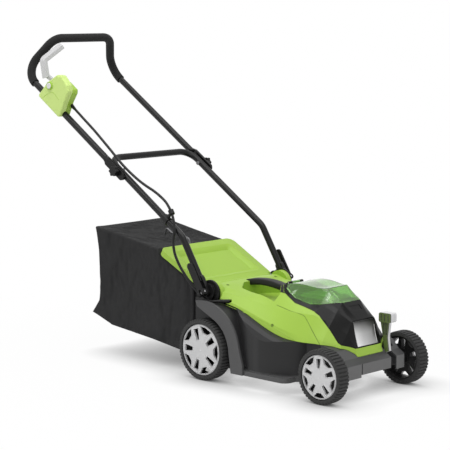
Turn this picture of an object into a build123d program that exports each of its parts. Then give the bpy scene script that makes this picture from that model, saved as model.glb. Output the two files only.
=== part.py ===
from build123d import *
import math
import os

# Push lawn mower with a rear grass bag and a folding two-piece handle.
# Millimetres. +X is the way it is pushed, +Y its left side, +Z up.
# The origin is on the ground, in the middle of its width, a little behind the deck.

# Wheels and axles
WHEELBASE = 440.0
REAR_AXLE_X = 151.0
FRONT_AXLE_X = REAR_AXLE_X + WHEELBASE
REAR_WHEEL_R = 89.0
FRONT_WHEEL_R = 76.0
REAR_AXLE = (REAR_AXLE_X, REAR_WHEEL_R)
FRONT_AXLE = (FRONT_AXLE_X, FRONT_WHEEL_R)
REAR_WHEEL_Y = (163.0, 205.3)
FRONT_WHEEL_Y = (155.0, 196.6)
TYRE_DEPTH = 13.0
HUBCAP_INSET = 15.0
SPOKE_DEPTH = 14.0
WHEEL_SLOTS = 5
AXLE_R = 6.0
RUN_FIT = 0.05

# Height setting: both axles are cranks that turn together
CRANK_LENGTH = 42.0
CRANK_ANGLE = -20.0
CRANK_DX = CRANK_LENGTH * math.cos(math.radians(CRANK_ANGLE))
CRANK_DZ = CRANK_LENGTH * math.sin(math.radians(CRANK_ANGLE))
REAR_PIVOT = (REAR_AXLE[0] - CRANK_DX, REAR_AXLE[1] - CRANK_DZ)
FRONT_PIVOT = (FRONT_AXLE[0] - CRANK_DX, FRONT_AXLE[1] - CRANK_DZ)
LINK_ARM = 47.0
LINK_REAR_Y = (107.5, 114.5)
LINK_FRONT_Y = (95.5, 102.5)
LINK_THICK = 4.0
LINK_REAR_SLOT_Y = (104.8, 122.2)
LINK_FRONT_SLOT_Y = (92.6, 110.0)
LINK_JOG_X = (380.0, 410.0)
LINK_PIN_R = 3.0
LINK_REAR = (REAR_PIVOT[0], REAR_PIVOT[1] + LINK_ARM)
LINK_FRONT = (FRONT_PIVOT[0], FRONT_PIVOT[1] + LINK_ARM)
LEVER_SLOT_Y = (64.5, 88.5)
LEVER_Y = (70.0, 83.0)
LEVER_STEM = [(604, 116), (599, 150), (590, 193), (619, 193), (614, 150), (619, 112)]
KNOB_X = (589.0, 630.0)
KNOB_Y = (63.0, 94.0)
KNOB_Z = (193.4, 220.0)

# Deck
BLADE_X = 351.0
BLADE_R = 175.0
CHAMBER_R = 187.0
WALL = 4.0
SKIRT_Z = 36.0
SKIRT_Y = 190.0
CEILING_Z = 121.0
FLOOR_Z = 125.0
DECK_REAR_X = 78.0
DECK_FRONT_X = 539.7
DECK_HALF_Y = 150.0
DECK_FRONT_HALF_Y = 127.0
FENDER_Y = 195.0
FENDER_R = (102.0, 143.0)
LEDGE_Y = 186.0
LEDGE_Z = 224.0
CHUTE_HALF_Y = 100.0
MOTOR_HOLE_R = 14.0
# The shoulder beside the seam falls away in three slopes: (y where it starts, fall per mm)
SHOULDER = [(152.0, 0.2), (166.0, 0.6), (178.0, 1.6)]
SHOULDER_END = 200.0

# Front housing
HOUSING_REAR_X = 540.0
HOUSING_FRONT_X = 634.0
HOUSING_Z = 61.0
HOUSING_MIDDLE_Z = 68.0
HOUSING_MIDDLE_Y = 63.0
HOUSING_WALL = 3.5
HOUSING_END_WALL = 4.0

# The seam where the top cover sits on the deck, seen from the side
SEAM_REAR = [(60, 229), (150, 229), (201, 226), (248, 217), (341, 180)]
SEAM = SEAM_REAR + [(435, 152), (549, 147), (573, 142.5), (590, 136)]
SEAM_FRONT = [(612, 112.6), (640, 95.4)]
SEAM_GAP = 0.4

# Top cover: half outlines (y, z) from the lower edge to the top, at stations along X
COVER_WALL = 3.0
COVER_GAP = 0.5
COVER_REAR = {
    119: [(149, 222), (149, 240), (148, 258), (138, 264), (80, 267)],
    201: [(158, 218), (155, 235), (140, 252), (112, 258), (70, 262)],
    275: [(158, 196), (150, 216), (124, 240), (96, 252), (65, 264)],
    341: [(156, 170), (148, 196), (117, 230), (90, 258), (60, 284)],
    435: [(152, 142), (143, 172), (116, 224), (82, 248), (55, 291)],
    492: [(147, 140), (138, 160), (104, 222), (72, 247), (40, 290)],
}
COVER_FRONT = {
    492: [(147, 140), (138, 160), (104, 222), (72, 247), (40, 290)],
    541: [(134, 138), (122, 158), (90, 198), (56, 238), (39, 253.5)],
    584: [(102, 132), (94, 146), (68, 176), (50, 206), (42, 210)],
    604: [(60, 112), (58.5, 120), (57, 128), (55, 134), (46, 135)],
    612: [(57, 100), (56.5, 104), (56, 108), (55, 112), (46, 113)],
}
# Where the lid and the cowl part from the cover: lower edges from the side, rear edges from above
LID_EDGE = [(320, 268), (364, 277), (405, 257), (456, 244.5), (486, 247), (531, 254), (560, 253)]
LID_REAR = [(336, 0), (366, 80), (366, 200)]
COWL_EDGE = [(290, 235), (366, 266), (414, 245), (488, 230), (505, 221), (543, 188), (574, 154), (604, 135.2)]
COWL_REAR = [(299, 0), (299, 16), (366, 84), (366, 200)]
TRIM_HALF_Y = 43.0
TRIM_Z = (138.8, 206.0)
LID_HINGE = (333.0, 284.0)
LID_BARREL_R = 4.5
LID_PIN_R = 2.0
# The finger pocket under the carry handle, seen from above
POCKET = [(168, 40), (200, 82), (275, 93), (346, 106), (351, 86), (297, 14)]
POCKET_Z = 226.0
CHEEK = (148.0, 244.0)
CHEEK_R = 37.0
CHEEK_Y = (134.0, 149.8)

# Battery and its bay
BAY_X = (372.0, 516.0)
BAY_HALF_Y = 52.0
BAY_Z = (200.0, 238.0)
BATTERY_X = (380.0, 505.0)
BATTERY_HALF_Y = 42.0
BATTERY_Z = (204.0, 262.0)

# Handle
PIVOT = (141.0, 252.0)
LEG_BEND = (45.0, 405.0)
LEG_TOP = (-270.0, 613.0)
LOWER_Y = 171.0
UPPER_Y = 181.0
TUBE_R = 10.0
TUBE_WALL = 1.5
EYE_Y = (165.0, 177.0)
CLAMP = (-219.0, 579.0)
FLAT_Y = (181.5, 189.5)
GRIP_BEND = (-650.0, 862.6)
GRIP_TOP = (-579.0, 117.0, 968.0)
FOAM_R = 13.5
FOAM_START = (-599.0, 829.0)
BRACKET_Y = (150.4, 157.0)
BRACKET_BOSS_Y = 164.5
CAM_Y = 186.0

# Discharge flap and bag
FLAP_HINGE = (110.0, 262.0)
FLAP_REAR = (-71.0, 354.0)
FLAP_HALF_Y = (147.0, 153.0)
FLAP_BARREL_Y = 131.0
BAG_HALF_Y = 152.0
CLOTH = 2.5

# Cable: corner points of its two lengths, which meet in the clip on the handle
CABLE_R = 4.0
CABLE_UPPER = [
    (-447.5, -163, 764.3), (-390, -171, 731), (-338, -172, 697), (-297, -172, 666), (-254, -172, 633),
    (-208, -172, 596), (-150, -172, 561), (-109, -172, 542), (-69, -173, 528), (-34, -175, 511),
    (-8, -178, 495), (8, -179, 473),
]
CABLE_LOWER = [
    (8, -179, 473), (23, -184, 453), (31, -189, 423), (24, -189, 391), (28, -188, 358),
    (41, -187, 332), (62, -186, 304), (84, -181, 277), (104, -176, 256), (125, -174, 240),
    (147, -175, 231), (168, -178.5, 229.5), (185.5, -180, 231.5), (199, -168, 232),
]

# Control box on the right-hand tube: its place on the tube, and its outline along and off the tube
SWITCH_PLACE = (-537.0, 788.2)
SWITCH_WAY = (0.8354, -0.5497)
SWITCH_OUTLINE = [(-25, -12), (-10, 48), (16, 95), (34, 105), (74, 97), (87, 82), (88, 40), (94, -12)]
SWITCH_CAVITY = [(-10, 22), (-4, 46), (20, 89), (35, 98), (71, 91), (82, 78), (82, 22)]
SWITCH_BACK = [(-24, -12), (-14, 55), (13, 81), (46, 85.5), (82, 85), (88, 74), (87, 40), (94, -12)]
SWITCH_BACK_CAVITY = [(10, 22), (10, 68), (18, 76), (46, 80), (79, 79), (83, 71), (82, 22)]
BUTTON = (-503.0, 824.5)
BUTTON_R = 9.5
BAIL_HINGE = (-514.5, 833.2)
BAIL_WAY = [(-545.5, -180, 847), (-563, -175, 901), (-548, -112, 945)]
BAIL_SECTION = [(-2, -10), (-4.5, 1), (2, 13), (4.5, 12), (-1.5, 0.5), (1, -10)]

os.makedirs("parts", exist_ok=True)


def save(piece, name):
    """Label a finished piece and write it to its own file."""
    piece.part.label = name
    export_step(piece.part, f"parts/{name}.step")


def save_pair(piece, name):
    """Save a right-hand piece, and its mirror image as the left-hand one."""
    save(piece, f"{name}_right")
    with BuildPart() as other:
        mirror(piece.part, about=Plane.XZ)
    save(other, f"{name}_left")


def side(y):
    """Plane seen from the right-hand side, at distance y along Y; sketches read (X, Z)."""
    return Plane.XZ.offset(-y)


def slab(points, y_from, y_to):
    """Solid with the side outline given by points, between two distances along Y."""
    with BuildPart() as block:
        with BuildSketch(side(max(y_from, y_to))):
            with BuildLine():
                Polyline(*points, close=True)
            make_face()
        extrude(amount=abs(y_to - y_from))
    return block.part


def prism(points, half_y):
    """Solid with the side outline given by points, from -half_y to half_y."""
    return slab(points, -half_y, half_y)


def rod(centre, radius, y_from, y_to):
    """Round bar along Y through the (X, Z) point centre."""
    with BuildPart() as bar:
        with Locations(Location((centre[0], (y_from + y_to) / 2, centre[1]), (90, 0, 0))):
            Cylinder(radius, abs(y_to - y_from))
    return bar.part


def arm(start, end, width, y_from, y_to):
    """Flat bar with round ends from one (X, Z) point to another, between two distances along Y."""
    angle = math.degrees(math.atan2(end[1] - start[1], end[0] - start[0]))
    with BuildPart() as bar:
        with BuildSketch(side(max(y_from, y_to))):
            with Locations(((start[0] + end[0]) / 2, (start[1] + end[1]) / 2)):
                SlotCenterToCenter(math.dist(start, end), width, rotation=angle)
        extrude(amount=abs(y_to - y_from))
    return bar.part


def block(x, y, z):
    """Box between two values along each axis."""
    with BuildPart() as box:
        with Locations((sum(x) / 2, sum(y) / 2, sum(z) / 2)):
            Box(x[1] - x[0], y[1] - y[0], z[1] - z[0])
    return box.part


def seam_outline(y, shift):
    """Face that covers everything above the seam, on the plane at y."""
    with BuildSketch(side(y)) as outline:
        with BuildLine():
            rear = Spline(*[(x, z + shift) for x, z in SEAM])
            front = [(x, z + shift) for x, z in SEAM_FRONT]
            Polyline(rear @ 1, *front, (front[-1][0], 420), (SEAM[0][0], 420), rear @ 0)
        make_face()
    return outline.sketch


def above_seam(shift):
    """Solid that fills everything above the seam, moved by shift, with the shoulders falling away."""
    with BuildPart() as fill:
        extrude(seam_outline(0, shift), amount=SHOULDER[0][0], both=True)
        drop = shift
        for (y, slope), (y_next, _) in zip(SHOULDER, SHOULDER[1:] + [(SHOULDER_END, 0)]):
            for way in (-1, 1):
                run = math.hypot(1, slope) * (y_next - y)
                extrude(seam_outline(way * y, drop), amount=run, dir=(0, way, -slope))
            drop -= slope * (y_next - y)
    return fill.part


# What stands out on the deck's right side: the wheel arch with its ledge, the bracket pad and the skirt
SKIRT_X = (290.0, 466.0)
SKIRT_PLAN = [(SKIRT_X[0], -140), (SKIRT_X[0], -SKIRT_Y), (SKIRT_X[1], -SKIRT_Y), (SKIRT_X[1], -140)]
with BuildPart() as flank:
    with BuildSketch(side(-DECK_HALF_Y + 1)):
        with BuildLine():
            outer = CenterArc(REAR_AXLE, FENDER_R[1], 102, -92)
            inner = CenterArc(REAR_AXLE, FENDER_R[0], 5, 63)
            Polyline(outer @ 1, (307, 62), (307, SKIRT_Z), (262, SKIRT_Z), inner @ 0)
            Polyline(inner @ 1, (128, 213), outer @ 0)
        make_face()
    extrude(amount=FENDER_Y - DECK_HALF_Y + 1)
    add(block((108, 180), (-BRACKET_BOSS_Y, 1 - DECK_HALF_Y), (204, LEDGE_Z)))
    add(block((98, 216), (-LEDGE_Y, 1 - DECK_HALF_Y), (LEDGE_Z, 245)), mode=Mode.SUBTRACT)
    with BuildSketch(Plane.XY.offset(SKIRT_Z)):
        with BuildLine():
            FilletPolyline(*SKIRT_PLAN, radius=24)
            Line(SKIRT_PLAN[-1], SKIRT_PLAN[0])
        make_face()
    extrude(amount=14)
    with Locations((BLADE_X, 0, (SKIRT_Z + CEILING_Z) / 2)):
        Cylinder(CHAMBER_R - WALL, CEILING_Z - SKIRT_Z, mode=Mode.SUBTRACT)

# The hollow under each shoulder of the deck, beside the blade chamber
with BuildPart() as shoulder_hollow:
    with BuildSketch(Plane.XY.offset(SKIRT_Z)):
        with Locations((BLADE_X, 0)):
            Circle(CHAMBER_R - WALL)
            Rectangle(2 * CHAMBER_R, 2 * (DECK_HALF_Y - WALL), mode=Mode.SUBTRACT)
    extrude(amount=230)
    add(above_seam(-SEAM_GAP - 6), mode=Mode.SUBTRACT)

# Deck: blade chamber, rear block with the chute, front block, wheel arches and skirts
CHUTE_REAR_X = DECK_REAR_X - 1
CHUTE_TOP = [(CHUTE_REAR_X, 222), (143, 222), (236, CEILING_Z)]
CHUTE = [(236, 50), (183, 50), (133, 114), (CHUTE_REAR_X, 122), *CHUTE_TOP]
UNDER_CHUTE = [(60, 20), (60, 117.5), (130, 110), (158, 74), (158, 20)]
REAR_UNDERSIDE = [(60, 20), (60, 88), (140, 88), (190, 35), (190, 20)]
TOP_BAY = [(240, FLOOR_Z), (470, FLOOR_Z), (470, 300), (147.5, 300), (147.5, 226)]
FRONT_BAY_X = DECK_FRONT_X - WALL
FRONT_BAY = [(460, FLOOR_Z), (FRONT_BAY_X, FLOOR_Z), (FRONT_BAY_X, 300), (460, 300)]
AXLE_POCKET_X = (84.0, 198.0)
AXLE_POCKET_Y = (104.0, DECK_HALF_Y - WALL)
with BuildPart() as deck:
    with BuildSketch(Plane.XY.offset(SKIRT_Z)):
        with Locations((BLADE_X, 0)):
            Circle(CHAMBER_R)
        with Locations(((DECK_REAR_X + BLADE_X) / 2, 0)):
            Rectangle(BLADE_X - DECK_REAR_X, 2 * DECK_HALF_Y)
    extrude(amount=230)
    with BuildSketch(Plane.XY.offset(CEILING_Z - WALL)):
        with Locations(((DECK_FRONT_X + BLADE_X) / 2, 0)):
            Rectangle(DECK_FRONT_X - BLADE_X, 2 * DECK_FRONT_HALF_Y)
    extrude(amount=140)
    add(above_seam(-SEAM_GAP), mode=Mode.SUBTRACT)
    # Blade chamber, and the spaces beside, behind and above it
    with BuildSketch(Plane.XY.offset(SKIRT_Z)):
        with Locations((BLADE_X, 0)):
            Circle(CHAMBER_R - WALL)
    extrude(amount=CEILING_Z - SKIRT_Z, mode=Mode.SUBTRACT)
    add(shoulder_hollow.part, mode=Mode.SUBTRACT)
    add(prism(CHUTE, CHUTE_HALF_Y), mode=Mode.SUBTRACT)
    add(prism(UNDER_CHUTE, DECK_HALF_Y - WALL), mode=Mode.SUBTRACT)
    add(prism(REAR_UNDERSIDE, DECK_HALF_Y + 1), mode=Mode.SUBTRACT)
    add(prism(TOP_BAY, DECK_HALF_Y - 10), mode=Mode.SUBTRACT)
    add(prism(FRONT_BAY, DECK_FRONT_HALF_Y - 5), mode=Mode.SUBTRACT)
    for low, high in (AXLE_POCKET_Y, (-AXLE_POCKET_Y[1], -AXLE_POCKET_Y[0])):
        add(block(AXLE_POCKET_X, (low, high), (20, 222)), mode=Mode.SUBTRACT)
    # The slots that the link rod of the height setting runs through
    add(block((182, 232), LINK_REAR_SLOT_Y, (128, 172)), mode=Mode.SUBTRACT)
    add(block((520, 560), LINK_FRONT_SLOT_Y, (FLOOR_Z, 168)), mode=Mode.SUBTRACT)
    # Bearings of the rear axle, and the motor's seat
    for way in (-1, 1):
        bearing = rod(REAR_PIVOT, AXLE_R + RUN_FIT, way * (DECK_HALF_Y - 2 * WALL), way * (DECK_HALF_Y + 1))
        add(bearing, mode=Mode.SUBTRACT)
    with Locations((BLADE_X, 0, FLOOR_Z)):
        Cylinder(MOTOR_HOLE_R, 20, mode=Mode.SUBTRACT)
    # Sill that carries the bag frame
    add(block((68.5, DECK_REAR_X), (-60, 60), (112, 116)))
    # Wheel arches, bracket pads and skirts
    add(flank.part)
    mirror(flank.part, about=Plane.XZ)

save(deck, "deck")

# Front housing: the beam that carries the front axle, with the lever's slot
HOUSING_SLOPE = [(HOUSING_FRONT_X, 98.6), (612, 112.1), (590, 135.4), (573, 142.0), (549, 146.5)]
HOUSING_TOP = HOUSING_SLOPE + [(HOUSING_REAR_X, 146.8)]
HOUSING_CEILING = [(630.5, 95.6), (610.8, 108), (588.2, 131.8), (572, 138.4), (548, 143), (543.5, 143.2)]
with BuildPart() as front_housing:
    add(prism([*HOUSING_TOP, (HOUSING_REAR_X, HOUSING_Z), (HOUSING_FRONT_X, HOUSING_Z)], DECK_FRONT_HALF_Y))
    fillet(front_housing.edges().filter_by(Axis.Z).group_by(Axis.X)[-1], 5)
    hollow = [*HOUSING_CEILING, (543.5, HOUSING_Z - 1), (630.5, HOUSING_Z - 1)]
    add(prism(hollow, DECK_FRONT_HALF_Y - HOUSING_END_WALL), mode=Mode.SUBTRACT)
    # The middle stretch stops higher, and a groove parts it from the right-hand stretch
    middle = (-HOUSING_MIDDLE_Y, LEVER_SLOT_Y[0])
    add(block((560, 640), middle, (HOUSING_Z - 1, HOUSING_MIDDLE_Z)), mode=Mode.SUBTRACT)
    groove = (-HOUSING_MIDDLE_Y - 2.5, -HOUSING_MIDDLE_Y + 2.5)
    add(block((HOUSING_FRONT_X - 2, 640), groove, (HOUSING_Z - 1, 120)), mode=Mode.SUBTRACT)
    add(block((549, 660), LEVER_SLOT_Y, (HOUSING_Z - 1, 160)), mode=Mode.SUBTRACT)
    add(block((539, 550), LEVER_SLOT_Y, (76, 105)), mode=Mode.SUBTRACT)
    add(block((530, 604), LINK_FRONT_SLOT_Y, (104, 160)), mode=Mode.SUBTRACT)
    add(rod(FRONT_PIVOT, AXLE_R + RUN_FIT, -140, 140), mode=Mode.SUBTRACT)

save(front_housing, "front_housing")


def crank_axle(pivot, wheel, link, link_y, arm_y, stub_y):
    """Axle bent into a crank at each end, with the upright arm that the link rod turns."""
    with BuildPart() as axle:
        add(rod(pivot, AXLE_R, -arm_y[1], arm_y[1]))
        for way in (-1, 1):
            add(arm(pivot, wheel, 22, way * arm_y[0], way * arm_y[1]))
            add(rod(wheel, AXLE_R, way * arm_y[0], way * stub_y))
        add(arm(pivot, link, 12, *link_y))
        add(rod(link, LINK_PIN_R, link_y[0], link_y[1] + LINK_THICK + 1.5))
    return axle


FRONT_ARM_Y = (130.0, 139.0)
REAR_ARM_Y = (152.5, 160.5)
STUB_INSET = 12.0
front_stub = FRONT_WHEEL_Y[1] - STUB_INSET
front_axle = crank_axle(FRONT_PIVOT, FRONT_AXLE, LINK_FRONT, LINK_FRONT_Y, FRONT_ARM_Y, front_stub)
save(front_axle, "front_axle")
rear_stub = REAR_WHEEL_Y[1] - STUB_INSET
rear_axle = crank_axle(REAR_PIVOT, REAR_AXLE, LINK_REAR, LINK_REAR_Y, REAR_ARM_Y, rear_stub)
save(rear_axle, "rear_axle")

# Link rod between the two axles, jogged in plan; its rear eye is wide, so that both cranks stay free
LINK_REAR_PLANE = LINK_REAR_Y[1] + 0.5
LINK_FRONT_PLANE = LINK_FRONT_Y[1] + 0.5
with BuildPart() as height_link:
    add(arm(LINK_REAR, LINK_FRONT, 9, LINK_FRONT_PLANE, LINK_REAR_PLANE + LINK_THICK))
    with BuildSketch(Plane.XY.offset(FLOOR_Z)):
        with BuildLine():
            jog = [(LINK_JOG_X[0], LINK_REAR_PLANE), (LINK_JOG_X[1], LINK_FRONT_PLANE)]
            edge = [(60, LINK_REAR_PLANE), *jog, (600, LINK_FRONT_PLANE)]
            Polyline(*edge, *[(x, y + LINK_THICK) for x, y in reversed(edge)], close=True)
        make_face()
    extrude(amount=60, mode=Mode.INTERSECT)
    add(rod(LINK_FRONT, LINK_PIN_R + RUN_FIT, 90, 125), mode=Mode.SUBTRACT)
    add(rod(LINK_REAR, LINK_PIN_R + 1.5, 90, 125), mode=Mode.SUBTRACT)

save(height_link, "height_link")

# Height lever, clamped on the front axle, and its knob
LEVER_CLAMP_R = 10.5
LEVER_RIBS = 3
with BuildPart() as height_lever:
    add(rod(FRONT_PIVOT, LEVER_CLAMP_R, *LEVER_Y))
    foot = [(FRONT_PIVOT[0] + 8, FRONT_PIVOT[1] - 6), (FRONT_PIVOT[0] - 4, FRONT_PIVOT[1] + 9)]
    add(slab([*foot, LEVER_STEM[0], LEVER_STEM[-1]], *LEVER_Y))
    add(slab(LEVER_STEM, *LEVER_Y))
    add(rod(FRONT_PIVOT, AXLE_R + RUN_FIT, *LEVER_Y), mode=Mode.SUBTRACT)
    for rib in range(LEVER_RIBS):
        x = 598.5 + 6 * rib
        add(block((x, x + 3.2), (LEVER_Y[0], LEVER_Y[0] + 3), (156, 190)), mode=Mode.SUBTRACT)

save(height_lever, "height_lever")

with BuildPart() as height_knob:
    add(block(KNOB_X, KNOB_Y, KNOB_Z))
    fillet(height_knob.edges().filter_by(Axis.Y), 5)
    fillet(height_knob.faces().sort_by(Axis.Y)[-1].edges(), 4)
    for rib in range(LEVER_RIBS):
        x = KNOB_X[0] + 7 + 12 * rib
        groove = block((x, x + 3), (KNOB_Y[0], KNOB_Y[0] + 2.5), (KNOB_Z[0] + 3, KNOB_Z[1] - 3))
        add(groove, mode=Mode.SUBTRACT)

save(height_knob, "height_knob")


def wheel_windows(centre, radius, phase, depth):
    """The ten openings of a wheel: five tapered slots between spokes, and five along the rim."""
    slot = [(0.40, -0.08), (0.40, 0.08), (0.85, 0.14), (0.85, -0.14)]
    rim = [(0.68, -0.12), (0.68, 0.12), (0.78, 0.24), (0.89, 0.33), (0.95, 0), (0.89, -0.33), (0.78, -0.24)]
    step = 360 / WHEEL_SLOTS
    with BuildPart() as openings:
        with BuildSketch(side(depth[1])):
            for outline, turn in ((slot, phase), (rim, phase + step / 2)):
                with Locations(centre):
                    with PolarLocations(0, WHEEL_SLOTS, start_angle=turn):
                        Polygon(*[(radius * r, radius * t) for r, t in outline], align=None)
        extrude(amount=depth[1] - depth[0])
    return openings.part


def turned(centre, profile):
    """Solid of revolution about the Y axis through centre; the profile reads (radius, y)."""
    with BuildPart() as body:
        with BuildSketch(Plane.XY.offset(centre[1])):
            with BuildLine():
                Polyline(*[(centre[0] + r, y) for r, y in profile], close=True)
            make_face()
        revolve(axis=Axis((centre[0], 0, centre[1]), (0, 1, 0)))
    return body.part


def make_wheel(name, centre, radius, width, phase):
    """One wheel and its mirror image: tyre, spoked core and hubcap, the outer face at width[1]."""
    inner, outer = -width[0], -width[1]
    seat = radius - TYRE_DEPTH
    with BuildPart() as tyre:
        tread = [(radius - 5, inner), (radius, inner - 5), (radius, outer + 5), (radius - 5, outer)]
        bead = [(seat + 3, outer), (seat, outer + 3), (seat, inner - 3), (seat + 3, inner)]
        add(turned(centre, tread + bead))
    save_pair(tyre, f"{name}_tyre")

    rim = seat - 0.05
    face = outer + 8
    cap_r = radius - HUBCAP_INSET
    with BuildPart() as core:
        bore = AXLE_R + RUN_FIT
        hub = [(bore, face), (bore, inner - 1), (16, inner - 1), (16, face + SPOKE_DEPTH)]
        felloe = [(rim - 5, face + SPOKE_DEPTH), (rim - 5, inner - 3), (rim, inner - 3), (rim, face)]
        add(turned(centre, [*hub, *felloe]))
        windows = wheel_windows(centre, cap_r, phase, (face - 1, face + SPOKE_DEPTH + 1))
        add(windows, mode=Mode.SUBTRACT)
    save_pair(core, f"{name}_wheel")

    with BuildPart() as cap:
        rim = [(cap_r, face - 0.2), (cap_r, face - 4.5), (cap_r - 3, face - 6)]
        dome = [(0, face - 0.2), *rim, (0.45 * cap_r, face - 7.6), (0, face - 8)]
        add(turned(centre, dome))
        add(wheel_windows(centre, cap_r, phase, (face - 9, face + 1)), mode=Mode.SUBTRACT)
    save_pair(cap, f"{name}_hubcap")


make_wheel("rear", REAR_AXLE, REAR_WHEEL_R, REAR_WHEEL_Y, 36)
make_wheel("front", FRONT_AXLE, FRONT_WHEEL_R, FRONT_WHEEL_Y, 20)

# Motor over the blade chamber, and what turns with its shaft
MOTOR_R = 46.0
MOTOR_TOP = 196.0
SHAFT_Z = (47.0, 201.0)
BLADE_Z = (50.0, 53.0)
with BuildPart() as motor:
    with Locations((BLADE_X, 0, (FLOOR_Z + MOTOR_TOP) / 2)):
        Cylinder(MOTOR_R, MOTOR_TOP - FLOOR_Z)
    fillet(motor.edges().sort_by(Axis.Z)[-1], 5)
    with Locations((BLADE_X, 0, FLOOR_Z - 3.5)):
        Cylinder(MOTOR_HOLE_R - 0.1, 7)
    with Locations((BLADE_X, 0, 150)):
        Cylinder(AXLE_R + RUN_FIT, 120, mode=Mode.SUBTRACT)
    with BuildSketch(Plane.XY.offset(MOTOR_TOP - 8)):
        with Locations((BLADE_X, 0)):
            with PolarLocations(30, 8):
                SlotOverall(20, 6)
    extrude(amount=9, mode=Mode.SUBTRACT)

save(motor, "motor")

with BuildPart() as rotor_shaft:
    with Locations((BLADE_X, 0, sum(SHAFT_Z) / 2)):
        Cylinder(AXLE_R, SHAFT_Z[1] - SHAFT_Z[0])

save(rotor_shaft, "rotor_shaft")

with BuildPart() as blade_holder:
    with BuildSketch(Plane.XZ):
        with BuildLine():
            bore = AXLE_R + RUN_FIT
            disc = [(bore, BLADE_Z[1]), (38, BLADE_Z[1]), (38, 58), (16, 64), (13, 112), (bore, 112)]
            Polyline(*[(BLADE_X + r, z) for r, z in disc], close=True)
        make_face()
    revolve(axis=Axis((BLADE_X, 0, 0), (0, 0, 1)))
    with BuildSketch(Plane.XY.offset(BLADE_Z[1])):
        with Locations((BLADE_X, 0)):
            with PolarLocations(27, 6):
                Circle(5)
    extrude(amount=12, mode=Mode.SUBTRACT)

save(blade_holder, "blade_holder")

# Blade: a flat bar whose trailing edges turn up at the ends
BLADE_WIDTH = 48.0
with BuildPart() as blade:
    with BuildSketch(Plane.XY.offset(BLADE_Z[0])):
        with Locations((BLADE_X, 0)):
            SlotOverall(2 * BLADE_R, BLADE_WIDTH)
            Circle(AXLE_R + RUN_FIT, mode=Mode.SUBTRACT)
    extrude(amount=BLADE_Z[1] - BLADE_Z[0])
    for way in (-1, 1):
        low, top, tip = BLADE_Z[0], BLADE_Z[1], BLADE_Z[0] + 15
        wing = [(14, low), (24, low), (24, tip), (21, tip), (14, top)]
        with BuildSketch(Plane.YZ.offset(BLADE_X + way * 100)):
            with BuildLine():
                Polyline(*[(way * y, z) for y, z in wing], close=True)
            make_face()
        extrude(amount=way * 48)

save(blade, "blade")

with BuildPart() as blade_bolt:
    with BuildSketch(Plane.XY.offset(40)):
        with Locations((BLADE_X, 0)):
            RegularPolygon(9, 6)
    extrude(amount=SHAFT_Z[0] - 40)
    with Locations((BLADE_X, 0, BLADE_Z[0] - 1.5)):
        Cylinder(14, 3)
    with Locations((BLADE_X, 0, BLADE_Z[0] - 1.5)):
        Cylinder(AXLE_R + RUN_FIT, 3, mode=Mode.SUBTRACT)

save(blade_bolt, "blade_bolt")


def cover_loft(stations, inset, shifts=None, ruled=False):
    """Solid through the cover's stations, drawn in by inset all round; shifts moves some along X."""
    moved = shifts or {}
    with BuildPart() as body:
        for x in sorted(stations):
            half = [(y - inset, z - inset) for y, z in stations[x]]
            half[0] = (half[0][0], half[0][1] - inset)
            with BuildSketch(Plane.YZ.offset(x + moved.get(x, 0))):
                with BuildLine():
                    Polyline(*half, *[(-y, z) for y, z in reversed(half)], close=True)
                make_face()
        loft(ruled=ruled)
    return body.part


def zone(edge, rear, grow):
    """Everything above an edge line seen from the side and in front of a rear line seen from above."""
    with BuildPart() as space:
        above = [(x, z - grow) for x, z in [*edge, (700, edge[-1][1])]]
        add(prism([*above, (700, 420), (edge[0][0], 420)], 190))
        with BuildSketch(Plane.XY.offset(100)):
            with BuildLine():
                half = [(x - grow, y) for x, y in rear]
                other = [(x, -y) for x, y in reversed(half) if y > 0]
                Polyline(*half, (700, 200), (700, -200), *other, close=True)
            make_face()
        extrude(amount=320, mode=Mode.INTERSECT)
    return space.part


# The closed form that the cover, cowl and lid are cut from, its inside, and the shell between them
with BuildPart() as hood:
    add(cover_loft(COVER_REAR, 0))
    add(cover_loft(COVER_FRONT, 0, ruled=True))
with BuildPart() as hood_inside:
    add(cover_loft(COVER_REAR, COVER_WALL, shifts={min(COVER_REAR): COVER_WALL}))
    nose = {x: -COVER_WALL for x in COVER_FRONT if x not in COVER_REAR}
    add(cover_loft(COVER_FRONT, COVER_WALL, shifts=nose, ruled=True))
with BuildPart() as hood_shell:
    add(hood.part)
    add(hood_inside.part, mode=Mode.SUBTRACT)
    add(above_seam(SEAM_GAP), mode=Mode.INTERSECT)

# Finger pocket: its space, and the tub around it
POCKET_PLAN = POCKET + [(x, -y) for x, y in reversed(POCKET)]
with BuildPart() as pocket_space:
    with BuildSketch(Plane.XY.offset(POCKET_Z)):
        with BuildLine():
            Polyline(*POCKET_PLAN, close=True)
        make_face()
    extrude(amount=110)
with BuildPart() as pocket_tub:
    with BuildSketch(Plane.XY.offset(POCKET_Z - COVER_WALL)):
        with BuildLine():
            Polyline(*POCKET_PLAN, close=True)
        make_face()
        offset(amount=COVER_WALL)
    extrude(amount=110)
    add(hood.part, mode=Mode.INTERSECT)

# Upstands of the cover beside the handle brackets
with BuildPart() as cheeks:
    add(rod(CHEEK, CHEEK_R, *CHEEK_Y))
    mirror(about=Plane.XZ)
    add(above_seam(SEAM_GAP), mode=Mode.INTERSECT)

# Grommet where the cable goes into the cover's right side
GROMMET_START = (199.0, -168.0, 232.0)
GROMMET_WAY = (0.75, 0.66, 0.03)
GROMMET_R = 5.5


def grommet(radius, length):
    """Round plug on the cable's way into the cover."""
    with BuildPart() as plug:
        with BuildSketch(Plane(GROMMET_START, z_dir=GROMMET_WAY)):
            Circle(radius)
        extrude(amount=length)
    return plug.part


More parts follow.
